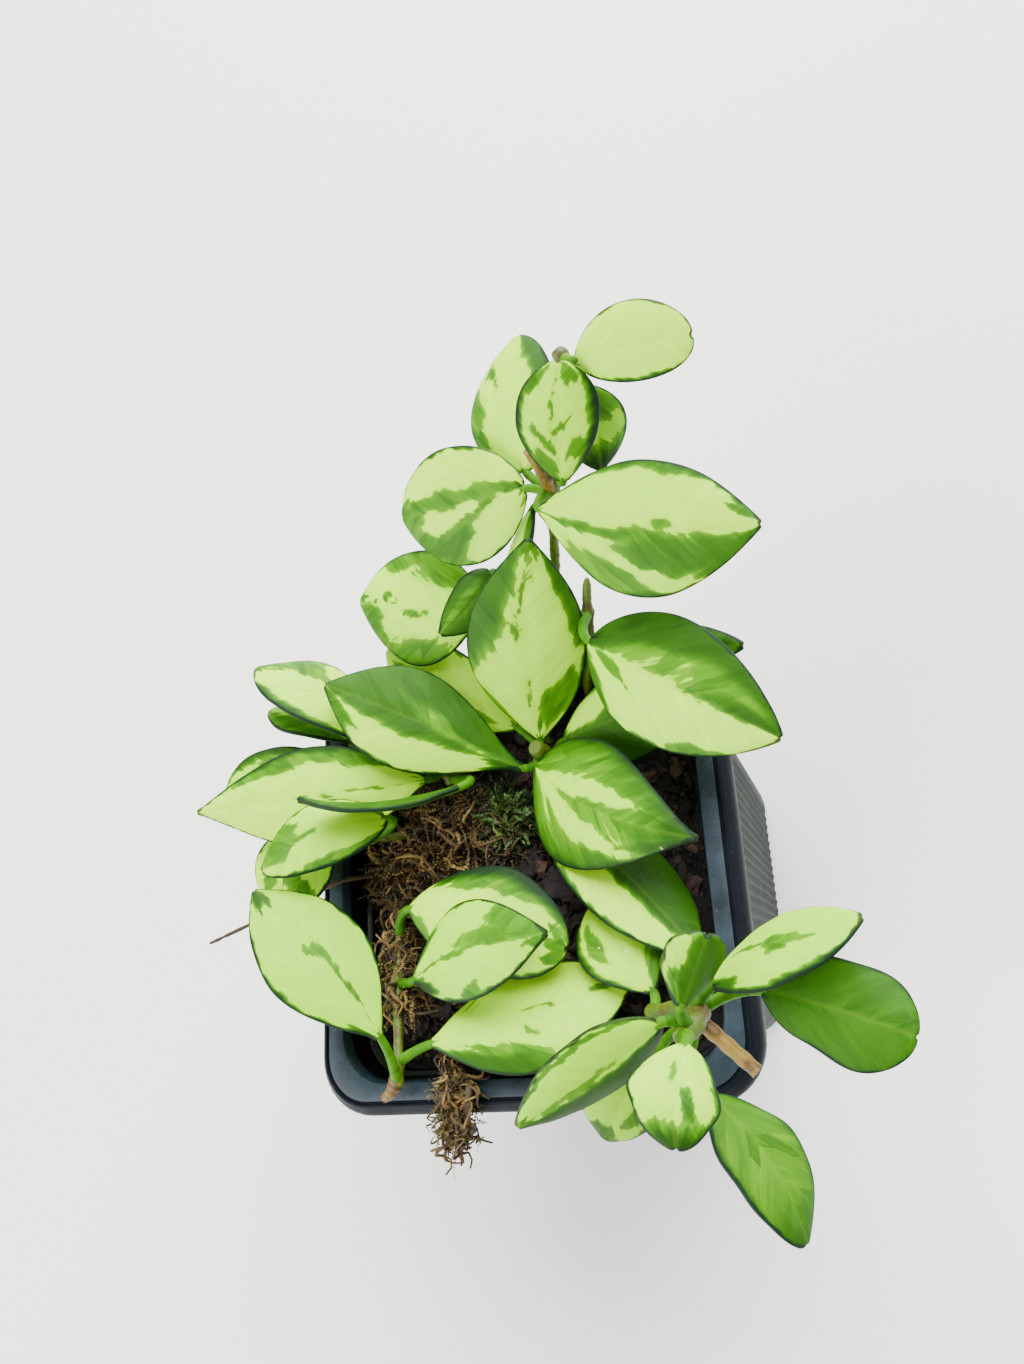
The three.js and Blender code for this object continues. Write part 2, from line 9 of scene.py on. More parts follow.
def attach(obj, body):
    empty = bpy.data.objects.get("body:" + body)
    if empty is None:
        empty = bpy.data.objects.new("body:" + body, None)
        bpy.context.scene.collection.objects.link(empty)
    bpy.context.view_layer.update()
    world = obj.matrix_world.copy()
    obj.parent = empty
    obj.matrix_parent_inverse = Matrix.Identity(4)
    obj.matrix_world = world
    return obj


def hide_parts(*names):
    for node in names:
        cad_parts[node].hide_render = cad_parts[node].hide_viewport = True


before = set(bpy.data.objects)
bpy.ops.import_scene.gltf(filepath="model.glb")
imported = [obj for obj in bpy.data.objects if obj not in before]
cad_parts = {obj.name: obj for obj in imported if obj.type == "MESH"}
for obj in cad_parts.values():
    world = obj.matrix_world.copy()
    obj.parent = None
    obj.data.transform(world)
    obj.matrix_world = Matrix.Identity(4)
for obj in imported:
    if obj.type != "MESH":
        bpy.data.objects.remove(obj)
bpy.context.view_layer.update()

MM = 0.001


# Camera, set to the photograph's viewpoint

CAMERA_MM = (74.43, -28.37, 251.04)
CAMERA_RIGHT = (0.911, -0.054, -0.409)
CAMERA_DOWN = (-0.178, -0.946, -0.272)
CAMERA_FORWARD = (-0.372, 0.320, -0.871)
LENS_MM = 27.764


def set_camera():
    data = bpy.data.cameras.new("photo_camera")
    data.lens = LENS_MM
    data.sensor_width = 36
    data.clip_start = 0.01
    camera = bpy.data.objects.new("photo_camera", data)
    bpy.context.collection.objects.link(camera)
    right, down, forward = Vector(CAMERA_RIGHT), Vector(CAMERA_DOWN), Vector(CAMERA_FORWARD)
    forward.normalize()
    right = (right - forward * right.dot(forward)).normalized()
    down = forward.cross(right)
    turned = Matrix((right, -down, -forward)).transposed().to_4x4()
    camera.matrix_world = Matrix.Translation(Vector(CAMERA_MM) * MM) @ turned
    bpy.context.scene.camera = camera


set_camera()


# Sizes of the pot, in millimetres
POT_HEIGHT = 82
WALL_TOP_HALF = 35.6
WALL_FOOT_HALF = 31
WALL_THICK = 1.2
FLOOR_THICK = 1.6
LEDGE_Z = 74
LEDGE_STEP = 0.8
FLUTES_SHOWN = 20
FLUTE_DEPTH = 0.45
DRAIN_RADIUS = 3.2
DRAIN_OFFSET = 17
SOIL_Z = 71.5

# Sizes of the plant, in millimetres, and how many columns a leaf's mesh has
LEAF_THICK = 1.35
STALK_RADIUS = 0.8
STALK_HALF = 0.62
TIP_HALF = 0.12
GROOVE_DEPTH = 0.2
EDGE_TURN = 0.22
LUMP = 0.09
NODE_SWELL = 0.5
NODE_REACH = 0.9
BARK_UNEVEN = 0.05
LEAF_COLUMNS = 18

# How much of its width a leaf's outline wavers, and how many times more on a few blades
WAVER = 0.012
WAVY = {"corner_green": 5, "corner_out": 4, "corner_near": 3, "front_under": 3, "corner_fold": 3,
        "corner_under": 3}

# How the green is drawn: how sharp a straight line is, how soft a margin's ends are, how far out a
# patch stays full, the green at the foot of a blade, the least and most level, and the stalk's level
LINE_SHARPNESS = 30
END_SOFTNESS = 0.03
PATCH_FULLNESS = 0.76
BASE_GREEN = 0.65
BASE_REACH = 0.025
LEVEL_RANGE = (-0.7, 1.35)
STALK_LEVEL = 0.36

# How far the side veins lean towards the tip, how far apart two leaves' noise lies, and how much of
# a level the coarse cells, the fine cells and the soft noise add
VEIN_SLANT = 1.15
LEAF_SEED = 7.3
COARSE_STEP = 0.34
FINE_STEP = 0.12
SOFT_STEP = 0.35

# The mix: how many crumbs and pieces of bark, how far out they lie, and their sizes in millimetres
DARK_CRUMBS = 2600
RED_PIECES = 26
SOIL_HALF = 32.5
BARK_HALF = 30
LARGE_SHARE = 0.2
LARGE_CRUMB = (1.6, 4.2)
SMALL_CRUMB = (0.6, 1.5)
BARK_PIECE = (3, 6)
STONE_SHAKE = 0.28

# Moss: how many loose strands, and how far out in the pot a strand may reach
LOOSE_WISPS = 340
STRAND_LIMIT = 32.4

# Samples between two points of a path
SPLINE_STEPS = 24

# Stems: radius and path
STEMS = {
    "tall": (0.85, [(4.5, 24, 64), (5.5, 25.5, 75), (9, 31, 82), (12.8, 38, 87.5), (16.7, 47.5, 94),
                    (21, 56.5, 104.5), (25.3, 63, 111), (29.5, 71.5, 117), (28.5, 73.5, 118.5)]),
    "tall_arm": (0.75, [(13, 39, 88), (10, 42, 89), (6.5, 45, 89.8), (5, 47.5, 91)]),
    "right": (0.85, [(14, 30, 64), (14.5, 31, 74), (16.5, 32.3, 81), (19.2, 36.5, 85.5), (21, 42, 91),
                     (22.5, 45, 94.5)]),
    "middle": (1.1, [(7, 19, 64), (6.5, 20, 73), (6, 20.5, 77), (5.5, 21, 81)]),
    "left": (0.9, [(-11, 15.5, 64), (-12, 16.5, 75), (-14, 20, 80.5), (-18, 24, 84), (-22, 26.5, 86)]),
    "left_low": (0.8, [(-21, 9, 64), (-22, 9, 76), (-26, 8.5, 81.5), (-31, 8.5, 84.3)]),
    "front_left": (0.85, [(-24, -1, 64), (-24, -2.5, 75), (-23.5, -10, 80), (-22, -21, 84), (-21, -32, 86),
                          (-21.5, -35, 86)]),
    "front_right": (0.95, [(20, -25, 64), (21, -25.5, 76), (25, -25.7, 86), (31, -25.5, 95.5),
                           (36, -26.8, 101.5), (34, -29.8, 106)]),
}

# Second stems that are joined to a first
ARMS = {"tall": ["tall_arm"]}

# Old flower spurs and cut ends: radius, how much thinner the end is, and path
SPURS = {
    "tall": (1.15, 0.15, [(21.2, 57, 105.5), (21.6, 58, 110), (21.3, 59.6, 114.6)]),
    "front_right": (1.15, 0.1, [(34.8, -26.8, 100.5), (39, -31, 100), (42.5, -34.5, 99.5)]),
    "front_left": (1.4, 0.45, [(-21.3, -34, 86), (-22.6, -36, 85.8), (-24.2, -36.9, 85.4)]),
}

# Loose twigs: radius and path
TWIGS = {
    "wood_sliver": (0.7, [(-8.5, -35, 84.2), (-9.5, -39, 84), (-11, -42, 80), (-12, -43, 76)]),
    "dry_root": (0.45, [(-30, 2, 79), (-34, 1, 83.2), (-43, -1.5, 83.4), (-52, -4, 82.5), (-63, -8, 84.5)]),
}

# Paths that moss is wound along: round the front left stem, and over the rim
SLEEVE = [(-24, -5, 77), (-23.5, -10, 79.5), (-22.5, -17, 82), (-21.5, -24, 84)]
OVER_RIM = [(-12, -27, 79), (-11.5, -33, 83.5), (-12, -40, 84.6), (-13.5, -43.6, 81), (-14.5, -44.5, 77.5)]

# Loose chips: place, size, turn in degrees and slot
CHIPS = {
    "bark_chip_back": ((-1.5, 1, 72.6), (9, 5, 2), 25, "bark"),
    "bark_chip_right": ((7, -3, 72.2), (10, 5.5, 2.2), -15, "bark"),
    "grey_chip": ((0.5, 26.5, 72.6), (4.5, 3, 1.4), 40, "grey_chip"),
}

# Shades of the mix and of bark, from dark to light
SOIL_SHADES = ["#070503", "#150e08", "#2a1c10", "#4c3822"]
BARK_SHADES = ["#150705", "#28110d", "#3b1f18", "#4d3022"]

# Lamps: place and size in metres, and power in watts. The room adds an even light
LAMPS = {"window": ((0.3, 0.85, 0.8), 1.3, 64.0), "door": ((-0.75, -0.6, 0.6), 1.2, 32.0)}
ROOM_LIGHT = 0.82

# Leaves: stem, place along it, base, tip, width, roll, arch, bend, cup, fullness at base and tip
LEAVES = {
    "top_right": ("tall", 0.985, (32, 70, 119), (50.5, 66, 122), 11.5, 40, 1.5, -1, 0.15, 0.6, 0.5),
    "top_left": ("tall", 0.73, (17, 61.5, 106), (18.5, 86, 108.5), 17, -10, 1, -2.5, 0.2, 0.6, 0.6),
    "top_front": ("tall", 0.77, (25, 55.5, 110), (30, 68.5, 122), 13, 30, 1, -0.5, 0.1, 0.8, 0.6),
    "top_under": ("tall", 0.93, (31, 69, 113), (28.5, 61.5, 100.5), 10.5, -35, 0.5, -0.5, 0.15, 0.65, 0.75),
    "upper_left": ("tall", 0.7, (17, 58, 106.5), (-9, 62, 101), 20.5, -30, 2, -0.5, 0.1, 0.6, 0.6),
    "upper_right": ("tall", 0.72, (20, 52.5, 108), (54.5, 40.5, 109), 21, 25, 2, 2, 0.15, 1, 0.95),
    "upper_low": ("tall", 0.67, (16.5, 56.5, 102), (8.5, 45, 97), 7.5, 35, 0.5, 0, 0.15, 0.9, 0.75),
    "arm_left": ("tall_arm", 0.85, (1, 46.5, 91), (-24.6, 52.7, 90.5), 21.5, -18, 2, -1, 0.15, 0.75, 0.8),
    "arm_curled": ("tall_arm", 0.97, (5, 50, 95), (-5, 40, 96), 8.5, -30, 1.5, -1, 0.2, 0.6, 0.9),
    "mid_back": ("middle", 0.95, (6, 23, 79), (16, 50, 104), 21, 25, 1.5, -1.5, 0.2, 0.95, 1),
    "mid_hidden": ("middle", 0.8, (1.9, 25.6, 80.5), (-22.3, 44.1, 84.6), 14, -8, 2.3, 0, 0.1, 0.8, 0.7),
    "mid_left": ("middle", 0.8, (2, 18, 79), (-28.5, 34.5, 97), 19, 10, 2, 0, 0.1, 1.4, 1),
    "mid_right": ("middle", 0.86, (5, 18, 79), (35.5, -0.5, 90), 22, 5, 2.5, 2.6, 0.1, 0.75, 1.25),
    "mid_low": ("middle", 0.6, (10, 22.5, 77), (35.5, 24.5, 87), 15.5, 10, 0.5, 0, 0.15, 0.8, 0.8),
    "mid_front": ("middle", 0.5, (5.5, 11, 75.5), (31.5, -17, 83), 17, -38, 1.5, 0, 0.15, 0.8, 0.7),
    "right": ("right", 0.82, (22, 33.5, 94), (51, 12, 95), 21, 20, 2, 0, 0.1, 0.65, 0.85),
    "right_under": ("right", 0.62, (23, 34.5, 88), (46.3, 29.5, 89.5), 7.5, 15, 1, 0, 0.1, 0.8, 0.8),
    "left_top": ("left", 0.98, (-26, 25.5, 88), (-45.5, 41.5, 95), 17, 50, 3, 2, 0.1, 1, 0.8),
    "left_under": ("left", 0.9, (-31, 27, 85), (-45, 34, 91), 10, 55, 1.5, 0, 0.15, 1, 0.6),
    "left_back": ("left", 0.75, (-32, 22, 84.5), (-55.5, 18.3, 90), 15, -15, 1, 0, 0.1, 0.8, 0.55),
    "left_long": ("left", 0.6, (-14.5, 17, 85.5), (-57.5, 15, 96), 18, -15, 1.5, 0, 0.1, 1.05, 1.2),
    "left_edge": ("left", 0.5, (-6.5, 14, 88), (-31.5, 13, 101), 9, 75, -2, 0, 0.15, 0.9, 0.8),
    "left_low": ("left_low", 0.85, (-20.7, 10, 89.5), (-40.4, 1.7, 98.5), 13, 8, 1.2, 2, 0.1, 0.65, 0.7),
    "left_front": ("left_low", 0.97, (-38.5, 9, 85.5), (-48.8, -0.4, 87), 13.5, -10, 1, 0, 0.1, 0.8, 0.7),
    "left_small": ("left_low", 0.9, (-34.3, 6.6, 87.6), (-40.1, -3.3, 90.5), 9.5, 0, 1, 0, 0.1, 0.7, 0.7),
    "front_left": ("front_left", 0.985, (-21.5, -27, 91), (-42.5, -1.5, 98), 18, 35, 2, 0.5, 0.1, 1.05, 0.95),
    "front_under": ("front_left", 0.45, (-19, -5.5, 84), (10.5, -15, 85), 18, 0, 1.5, -1.5, 0.2, 0.7, 0.6),
    "front_mid": ("front_left", 0.62, (-17, -18, 86.5), (10.5, -13, 93), 16, -5, 2, -1.5, 0.15, 0.9, 1.05),
    "front_low": ("front_left", 0.92, (-14, -28.5, 86.5), (19, -21, 80), 18.5, -20, 1, 0.5, 0.2, 0.95, 0.85),
    "corner_back": ("front_right", 0.42, (24, -22.5, 83), (14, -7.5, 79), 14, 15, 1.5, -0.5, 0.15, 0.9, 0.7),
    "corner_fold": ("front_right", 0.94, (35, -25.5, 108), (40.5, -17, 112), 8.5, 45, 0, 0, 0.3, 0.9, 0.5),
    "corner_right": ("front_right", 0.82, (38.5, -23, 103), (59.5, -16, 105), 11.5, -40, 1, -1, 0.2, 0.8,
                     0.8),
    "corner_green": ("front_right", 0.84, (44.5, -24, 99), (63.5, -31, 101), 13.5, 0, 1, -0.5, 0.1, 0.75,
                     0.5),
    "corner_left": ("front_right", 0.95, (31.5, -27.5, 107), (9.5, -40, 106), 11, -50, 1, 0.5, 0.2, 0.65,
                    0.85),
    "corner_near": ("front_right", 0.99, (36.5, -30.5, 113), (35.5, -42, 118), 11, -20, 1.5, 1, 0.15, 0.8,
                    0.7),
    "corner_under": ("front_right", 0.87, (28, -31.5, 99), (17.5, -43, 92), 11, -25, 1.5, 1, 0.1, 0.9, 0.7),
    "corner_out": ("front_right", 0.92, (36, -37, 104), (46, -55, 101), 12, -50, 2, -1, 0, 0.8, 0.7),
}

# How green each blade is, place by place. Level runs from below 0, cream, through lime and green to
# dark green above 0.9. Across runs from -1 to 1, and along from 0 at the base to 1 at the tip. A row
# holds the blade's own level, its yellowness and its brightness, then its margins, then its patches.
# The brightness multiplies the colour. It is partly each leaf's own tone and partly painted shade,
# which lowers it on leaves that lie under others.
# A margin is (side, height, reach), and it may have a start and a stop along the blade.
# Left, right and tip fade from that edge over the reach. West and east fill all of the blade on that
# side of a straight line, and reach is where across the blade the line lies.
# A patch is (across, along, half width, half length, lean, height).
# Heights above 0 don't add up: the highest shows. A height below 0 lowers the level under it.
CREAM = -0.5
GREEN = 0.6
TONES = {
    "top_right": (CREAM, 0.25, 1.05, [("right", 1.5, 0.13, 0.05, 0.85)],
        [(-1, 0.35, 0.12, 0.06, 0, 0.8)]),
    "top_left": (CREAM, 0.4, 1, [("right", 1.4, 0.16, 0.45, 1), ("left", 1.2, 0.08)],
        [(-0.95, 0.45, 0.36, 0.24, 0, 0.8), (-1, 0.45, 0.2, 0.17, 0, 0.4),
        (-0.62, 0.8, 0.12, 0.13, -2.7, 0.8), (0.88, 0.85, 0.4, 0.25, -0.6, 1.1),
        (-0.95, 0.1, 0.25, 0.12, 0, 1.4)]),
    "top_front": (CREAM, 0.3, 1.05, [("right", 1.7, 0.25, 0.1, 0.9), ("left", 1.7, 0.14, 0.25, 0.8)],
        [(-0.42, 0.38, 0.16, 0.13, -2, 0.75), (0, 0.46, 0.1, 0.1, 2.5, 0.68),
        (-0.6, 0.14, 0.42, 0.15, 0, 0.75), (-0.15, 0.68, 0.05, 0.22, 0.2, 0.62),
        (0.4, 0.92, 0.3, 0.09, 0, 0.75), (-0.85, 0.88, 0.3, 0.1, 0, 0.9),
        (0.5, 0.3, 0.3, 0.1, 1.5, 0.8)]),
    "top_under": (-0.3, 0.8, 0.85, [("tip", 1.4, 0.26), ("left", 1.2, 0.1, 0.3, 1),
        ("right", 1.2, 0.1, 0.3, 1)], [(-0.1, 0.12, 1, 0.24, 0, 0.55)]),
    "upper_left": (CREAM, 0.3, 1.02, [("right", 1.4, 0.06, 0.3, 1), ("left", 0.9, 0.05, 0.2, 1),
        ("tip", 0.9, 0.16)], [(0.2, 0.12, 0.14, 0.16, -0.3, 0.9), (0.02, 0.34, 0.26, 0.16, -1.0, 0.9),
        (-0.55, 0.62, 0.4, 0.2, -1.1, 0.9), (0.17, 0.62, 0.17, 0.3, 0.1, 0.9),
        (-0.5, 0.86, 0.6, 0.14, 0, 0.9), (-0.18, 0.56, 0.1, 0.2, -0.8, -1.2),
        (0.62, 0.8, 0.22, 0.14, 0.6, -1.2)]),
    "upper_right": (CREAM, 0.35, 1, [("left", 1.2, 0.1, 0.1, 1), ("right", 1.1, 0.1)],
        [(0.1, 0.22, 0.09, 0.2, 0, 0.85), (0.42, 0.72, 0.32, 0.28, 0.6, 1.0),
        (0.86, 0.36, 0.3, 0.22, 0.8, 0.75), (0.75, 0.92, 0.4, 0.14, 0, 1.0),
        (0.7, 0.57, 0.08, 0.2, 1.3, -1.1), (-0.85, 0.94, 0.35, 0.07, 0, 0.9),
        (-0.97, 0.55, 0.14, 0.12, 0, 0.85), (-0.1, 0.62, 0.08, 0.05, 0, 0.75),
        (0.05, 0.48, 0.09, 0.09, 0, 0.8)]),
    "upper_low": (-0.3, 0.5, 0.85, [("right", 1.4, 0.4)], [(-0.8, 0.2, 0.3, 0.2, 0, 0.7)]),
    "arm_left": (CREAM, 0.3, 1.03, [("left", 1.2, 0.1, 0.05, 1), ("right", 1.2, 0.08, 0.05, 1)],
        [(-0.95, 0.52, 0.38, 0.28, 0, 0.8), (-0.55, 0.88, 0.5, 0.12, 0.5, 0.8),
        (0.78, 0.28, 0.36, 0.22, 0, 0.78), (0.88, 0.6, 0.2, 0.18, 0, 0.8),
        (0.22, 0.72, 0.1, 0.035, 0, 0.9), (0.1, 0.82, 0.05, 0.025, 0, 0.8),
        (0.08, 0.63, 0.06, 0.025, 0, 0.85), (-0.1, 0.48, 0.055, 0.11, 0, 0.75),
        (0.3, 0.97, 0.4, 0.04, 0, 0.75)]),
    "arm_curled": (GREEN, 0.5, 0.9, [("left", 0.3, 0.2), ("right", 0.3, 0.15)],
        [(0.35, 0.6, 0.15, 0.4, 0, -0.3)]),
    "mid_back": (CREAM, 0.3, 1, [("left", 1.1, 0.06), ("right", 1.2, 0.08)],
        [(-0.92, 0.7, 0.52, 0.26, 0.5, 1.15), (0.97, 0.75, 0.26, 0.26, 0, 1.05),
        (0, 0.97, 1, 0.05, 0, 0.8), (0.66, 0.22, 0.42, 0.13, 1.4, 0.78),
        (0.14, 0.07, 0.1, 0.1, 1, 0.75), (-0.03, 0.28, 0.05, 0.09, 0.8, 0.68),
        (-0.16, 0.58, 0.09, 0.04, 0, 0.75), (-0.1, 0.74, 0.04, 0.09, 0, 0.68),
        (0.15, 0.87, 0.2, 0.06, 1, 0.6), (-0.95, 0.15, 0.16, 0.16, 0, 0.8)]),
    "mid_hidden": (-0.4, 0.7, 0.72, [("right", 1.3, 0.1), ("left", 0.8, 0.15, 0.3, 1)],
        [(-0.4, 0.7, 0.3, 0.2, 0, 0.6), (-0.3, 0.3, 0.15, 0.2, 0, 0.5)]),
    "mid_left": (CREAM, 0.3, 1.03, [("east", 1.1, -0.33), ("left", 1.2, 0.06)],
        [(-0.7, 0.06, 0.8, 0.09, 0, 1.2), (-0.9, 0.92, 0.5, 0.1, 0, 1.0),
        (0.1, 0.43, 0.12, 0.17, 1.3, -0.4), (-0.2, 0.14, 0.1, 0.12, 1, -0.35)]),
    "mid_right": (0.45, 0.4, 1, [("left", 0.5, 0.12), ("right", 0.5, 0.1), ("tip", 0.45, 0.2)],
        [(0, 0.42, 0.62, 0.42, 0, -0.3), (-0.23, 0.42, 0.1, 0.27, -0.5, -0.75),
        (0.3, 0.35, 0.13, 0.28, 0.95, -0.75), (0.72, 0.7, 0.12, 0.1, 1.2, -0.4)]),
    "mid_low": (0.62, 0.3, 0.95, [], [(-0.55, 0.24, 0.32, 0.2, 0, -1.2)]),
    "mid_front": (CREAM, 0.3, 1.02, [("right", 1.2, 0.08), ("west", 1.3, 0.24, 0.4, 1),
        ("left", 0.9, 0.06)], []),
    "right": (CREAM, 0.3, 1.03, [("right", 1.2, 0.06), ("west", 1.25, -0.02)],
        [(-0.3, 0.5, 0.22, 0.34, -0.65, -0.6), (0.2, 0.17, 0.1, 0.1, 1.2, 0.75),
        (0.96, 0.65, 0.16, 0.12, 0, 0.8), (0.9, 0.06, 0.3, 0.12, 0, 1.1)]),
    "right_under": (0.5, 0.4, 0.9, [("left", 0.4, 0.2)], [(0.6, 0.4, 0.4, 0.5, 0, -0.3)]),
    "left_top": (CREAM, 0.3, 1, [("left", 1.4, 0.16, 0.05, 0.9), ("right", 1.2, 0.1),
        ("east", 0.78, 0.1, 0.1, 1)], [(-0.03, 0.86, 0.1, 0.05, 0, 0.8), (0, 0.98, 1, 0.04, 0, 0.8),
        (0.6, 0.4, 0.22, 0.2, 0.6, -0.9)]),
    "left_under": (-0.4, 0.5, 0.95, [("right", 1.4, 0.25), ("left", 0.6, 0.15)],
        [(-0.75, 0.55, 0.42, 0.5, 0, 0.7)]),
    "left_back": (CREAM, 0.35, 0.97, [("right", 1.3, 0.24, 0.2, 1), ("left", 1.1, 0.06)],
        [(0.55, 0.55, 0.2, 0.14, 0, 0.75)]),
    "left_long": (CREAM, 0.25, 1.03, [("right", 1.4, 0.16, 0.1, 0.95), ("left", 1.3, 0.05)],
        [(0.76, 0.58, 0.14, 0.25, 0, 0.75), (-0.03, 0.28, 0.03, 0.25, 0, 0.7),
        (0.85, 0.27, 0.25, 0.13, 0, 0.85)]),
    "left_edge": (0.62, 0.4, 0.98, [("right", 0.5, 0.15)], [(0.5, 0.86, 0.8, 0.1, 0, -1.0)]),
    "left_low": (-0.4, 0.6, 1, [("left", 1.5, 0.1), ("right", 1.3, 0.07)],
        [(0.45, 0.84, 0.7, 0.17, 0, 0.72), (0.12, 0.66, 0.08, 0.12, 0, 0.65),
        (0.4, 0.92, 0.3, 0.06, 0, 0.45), (-0.85, 0.4, 0.14, 0.3, 0, 0.65)]),
    "left_front": (CREAM, 0.4, 0.95, [("left", 1.3, 0.08), ("right", 1.3, 0.08)],
        [(0.05, 0.8, 0.22, 0.12, 0, 0.8), (0.35, 0.4, 0.16, 0.2, 0, 0.7)]),
    "left_small": (CREAM, 0.5, 0.95, [("left", 1.3, 0.1), ("right", 1.3, 0.1)],
        [(0, 0.72, 0.9, 0.12, 0, 0.68), (0.7, 0.3, 0.3, 0.14, 0, 0.8)]),
    "front_left": (CREAM, 0.9, 1.02, [("left", 1.6, 0.07, 0.05, 1), ("right", 1.6, 0.06)],
        [(-0.06, 0.55, 0.12, 0.04, 0, 0.8), (0.08, 0.5, 0.08, 0.1, 0, 0.85),
        (0.1, 0.3, 0.045, 0.26, 0, 0.8), (-0.2, 0.96, 0.5, 0.07, 0, 1.3),
        (-0.95, 0.06, 0.25, 0.08, 0, 1.3)]),
    "front_under": (CREAM, 0.1, 1.06, [("left", 1.7, 0.3, 0.15, 1), ("right", 1.6, 0.12)],
        [(-0.62, 0.5, 0.12, 0.3, 0, 0.7), (0.75, 0.07, 0.35, 0.1, 0, 0.85),
        (0.1, 0.95, 0.8, 0.06, 0, 0.9)]),
    "front_mid": (-0.4, 0.9, 1.06, [("left", 1.4, 0.06), ("right", 1.4, 0.08), ("tip", 0.7, 0.05)],
        [(-0.5, 0.86, 0.62, 0.2, 0.5, 0.7), (-0.12, 0.7, 0.18, 0.28, 0.3, 0.68),
        (-0.03, 0.86, 0.06, 0.2, 0, 0.85), (0.01, 0.4, 0.05, 0.42, 0, 0.75),
        (0.6, 0.96, 0.5, 0.07, 0, 0.7), (0.82, 0.46, 0.16, 0.06, 0, 0.75),
        (0.8, 0.06, 0.42, 0.1, 0, 1.4), (-0.85, 0.08, 0.3, 0.12, 0, 1.1)]),
    "front_low": (CREAM, 0.5, 1.05, [("right", 1.5, 0.1), ("left", 1.0, 0.06)],
        [(0.92, 0.27, 0.3, 0.27, 0, 1.2), (0.62, 0.42, 0.14, 0.2, 0.9, 0.7),
        (-0.12, 0.89, 0.1, 0.06, 0, 0.75), (-0.05, 0.58, 0.03, 0.13, 0, 0.68),
        (0.3, 0.5, 0.04, 0.06, 1.8, 0.68), (-0.85, 0.22, 0.3, 0.05, 0, 0.62)]),
    "corner_back": (CREAM, 0.45, 0.99, [("left", 1.5, 0.16), ("right", 0.9, 0.08)],
        [(-0.52, 0.6, 0.16, 0.2, 0, 0.7), (0.72, 0.18, 0.36, 0.22, 0, 0.78)]),
    "corner_fold": (0.6, 0.6, 1, [("left", -0.6, 0.3, 0.2, 1)], [(-0.65, 0.7, 0.22, 0.2, 0, -0.8),
        (-0.5, 0.35, 0.06, 0.3, 0, -0.35)]),
    "corner_right": (CREAM, 0.95, 1, [("right", 1.5, 0.13), ("left", 0.5, 0.04)],
        [(0.06, 0.5, 0.19, 0.11, 0.4, 0.85), (-0.28, 0.28, 0.06, 0.16, 1.3, 0.8),
        (0.22, 0.66, 0.08, 0.09, 0.6, 0.8), (0.75, 0.06, 0.5, 0.1, 0, 1.1)]),
    "corner_green": (0.6, 0.4, 1.12, [("left", 0.2, 0.08), ("right", 0.2, 0.08)], []),
    "corner_left": (CREAM, 0.95, 1, [("west", 1.4, -0.2), ("right", 0.8, 0.04)],
        [(0.85, 0.5, 0.06, 0.6, 0, 0.85), (0, 0.96, 0.5, 0.05, 0, 1.0),
        (-0.05, 0.6, 0.12, 0.3, 0, 0.72)]),
    "corner_near": (-0.4, 0.5, 1.03, [("tip", 1.4, 0.17), ("left", 1.3, 0.12, 0.1, 1),
        ("right", 1.0, 0.08)], [(-0.3, 0.62, 0.12, 0.16, -0.6, 0.95), (0.1, 0.36, 0.1, 0.1, 0, 0.5)]),
    "corner_under": (-0.3, 0.9, 0.78, [("left", 1.0, 0.12), ("tip", 1.3, 0.06)],
        [(-0.45, 0.62, 0.16, 0.12, 0, 0.6), (0.2, 0.9, 0.5, 0.08, 0, 0.8)]),
    "corner_out": (0.25, 0.4, 0.92, [("left", 0.5, 0.12), ("right", 0.5, 0.1), ("tip", 0.4, 0.2)],
        [(0, 0.5, 0.1, 0.5, 0, -0.05)]),
}


# Helpers for materials

def linear(code):
    """An sRGB hex colour as linear red, green, blue and alpha."""
    parts = [int(code[i:i + 2], 16) / 255 for i in (1, 3, 5)]
    return [c / 12.92 if c <= 0.04045 else ((c + 0.055) / 1.055) ** 2.4 for c in parts] + [1]


def feed(node, values):
    """Links or sets each of a node's inputs."""
    for key, value in values.items():
        if isinstance(value, bpy.types.NodeSocket):
            node.id_data.links.new(value, node.inputs[key])
        else:
            node.inputs[key].default_value = value


def add(tree, kind, values=None, **settings):
    """Adds a node with its settings and its inputs."""
    node = tree.nodes.new(kind)
    for key, value in settings.items():
        setattr(node, key, value)
    feed(node, values or {})
    return node


def new_material(name):
    material = bpy.data.materials.new(name)
    material.use_nodes = True
    tree = material.node_tree
    return material, tree, tree.nodes["Principled BSDF"]


def sums(tree, operation, *values):
    return add(tree, "ShaderNodeMath", dict(enumerate(values)), operation=operation).outputs[0]


def ranged(tree, value, start, stop, low=0.0, high=1.0):
    """Carries a value that runs from start to stop over to a run from low to high."""
    return add(tree, "ShaderNodeMapRange", {0: value, 1: start, 2: stop, 3: low, 4: high}).outputs[0]


def split(tree, vector):
    return add(tree, "ShaderNodeSeparateXYZ", {0: vector}).outputs


def noise(tree, where, scale, detail, roughness=0.5):
    values = {"Vector": where, "Scale": scale, "Detail": detail, "Roughness": roughness}
    return add(tree, "ShaderNodeTexNoise", values).outputs["Fac"]


def cells(tree, where, scale=1.0):
    return add(tree, "ShaderNodeTexVoronoi", {"Vector": where, "Scale": scale}).outputs


def blend(tree, share, first, second, kind="MIX"):
    """That share of the second colour over the first."""
    node = add(tree, "ShaderNodeMix", {0: share, 6: first, 7: second}, data_type="RGBA", blend_type=kind)
    return node.outputs[2]


def ramp(tree, value, stops):
    """Colours along a value from 0 to 1, given as (place, hex colour) pairs."""
    node = add(tree, "ShaderNodeValToRGB", {0: value})
    while len(node.color_ramp.elements) < len(stops):
        node.color_ramp.elements.new(0.5)
    for element, (at, code) in zip(node.color_ramp.elements, stops):
        element.position = at
        element.color = linear(code)
    return node.outputs[0]


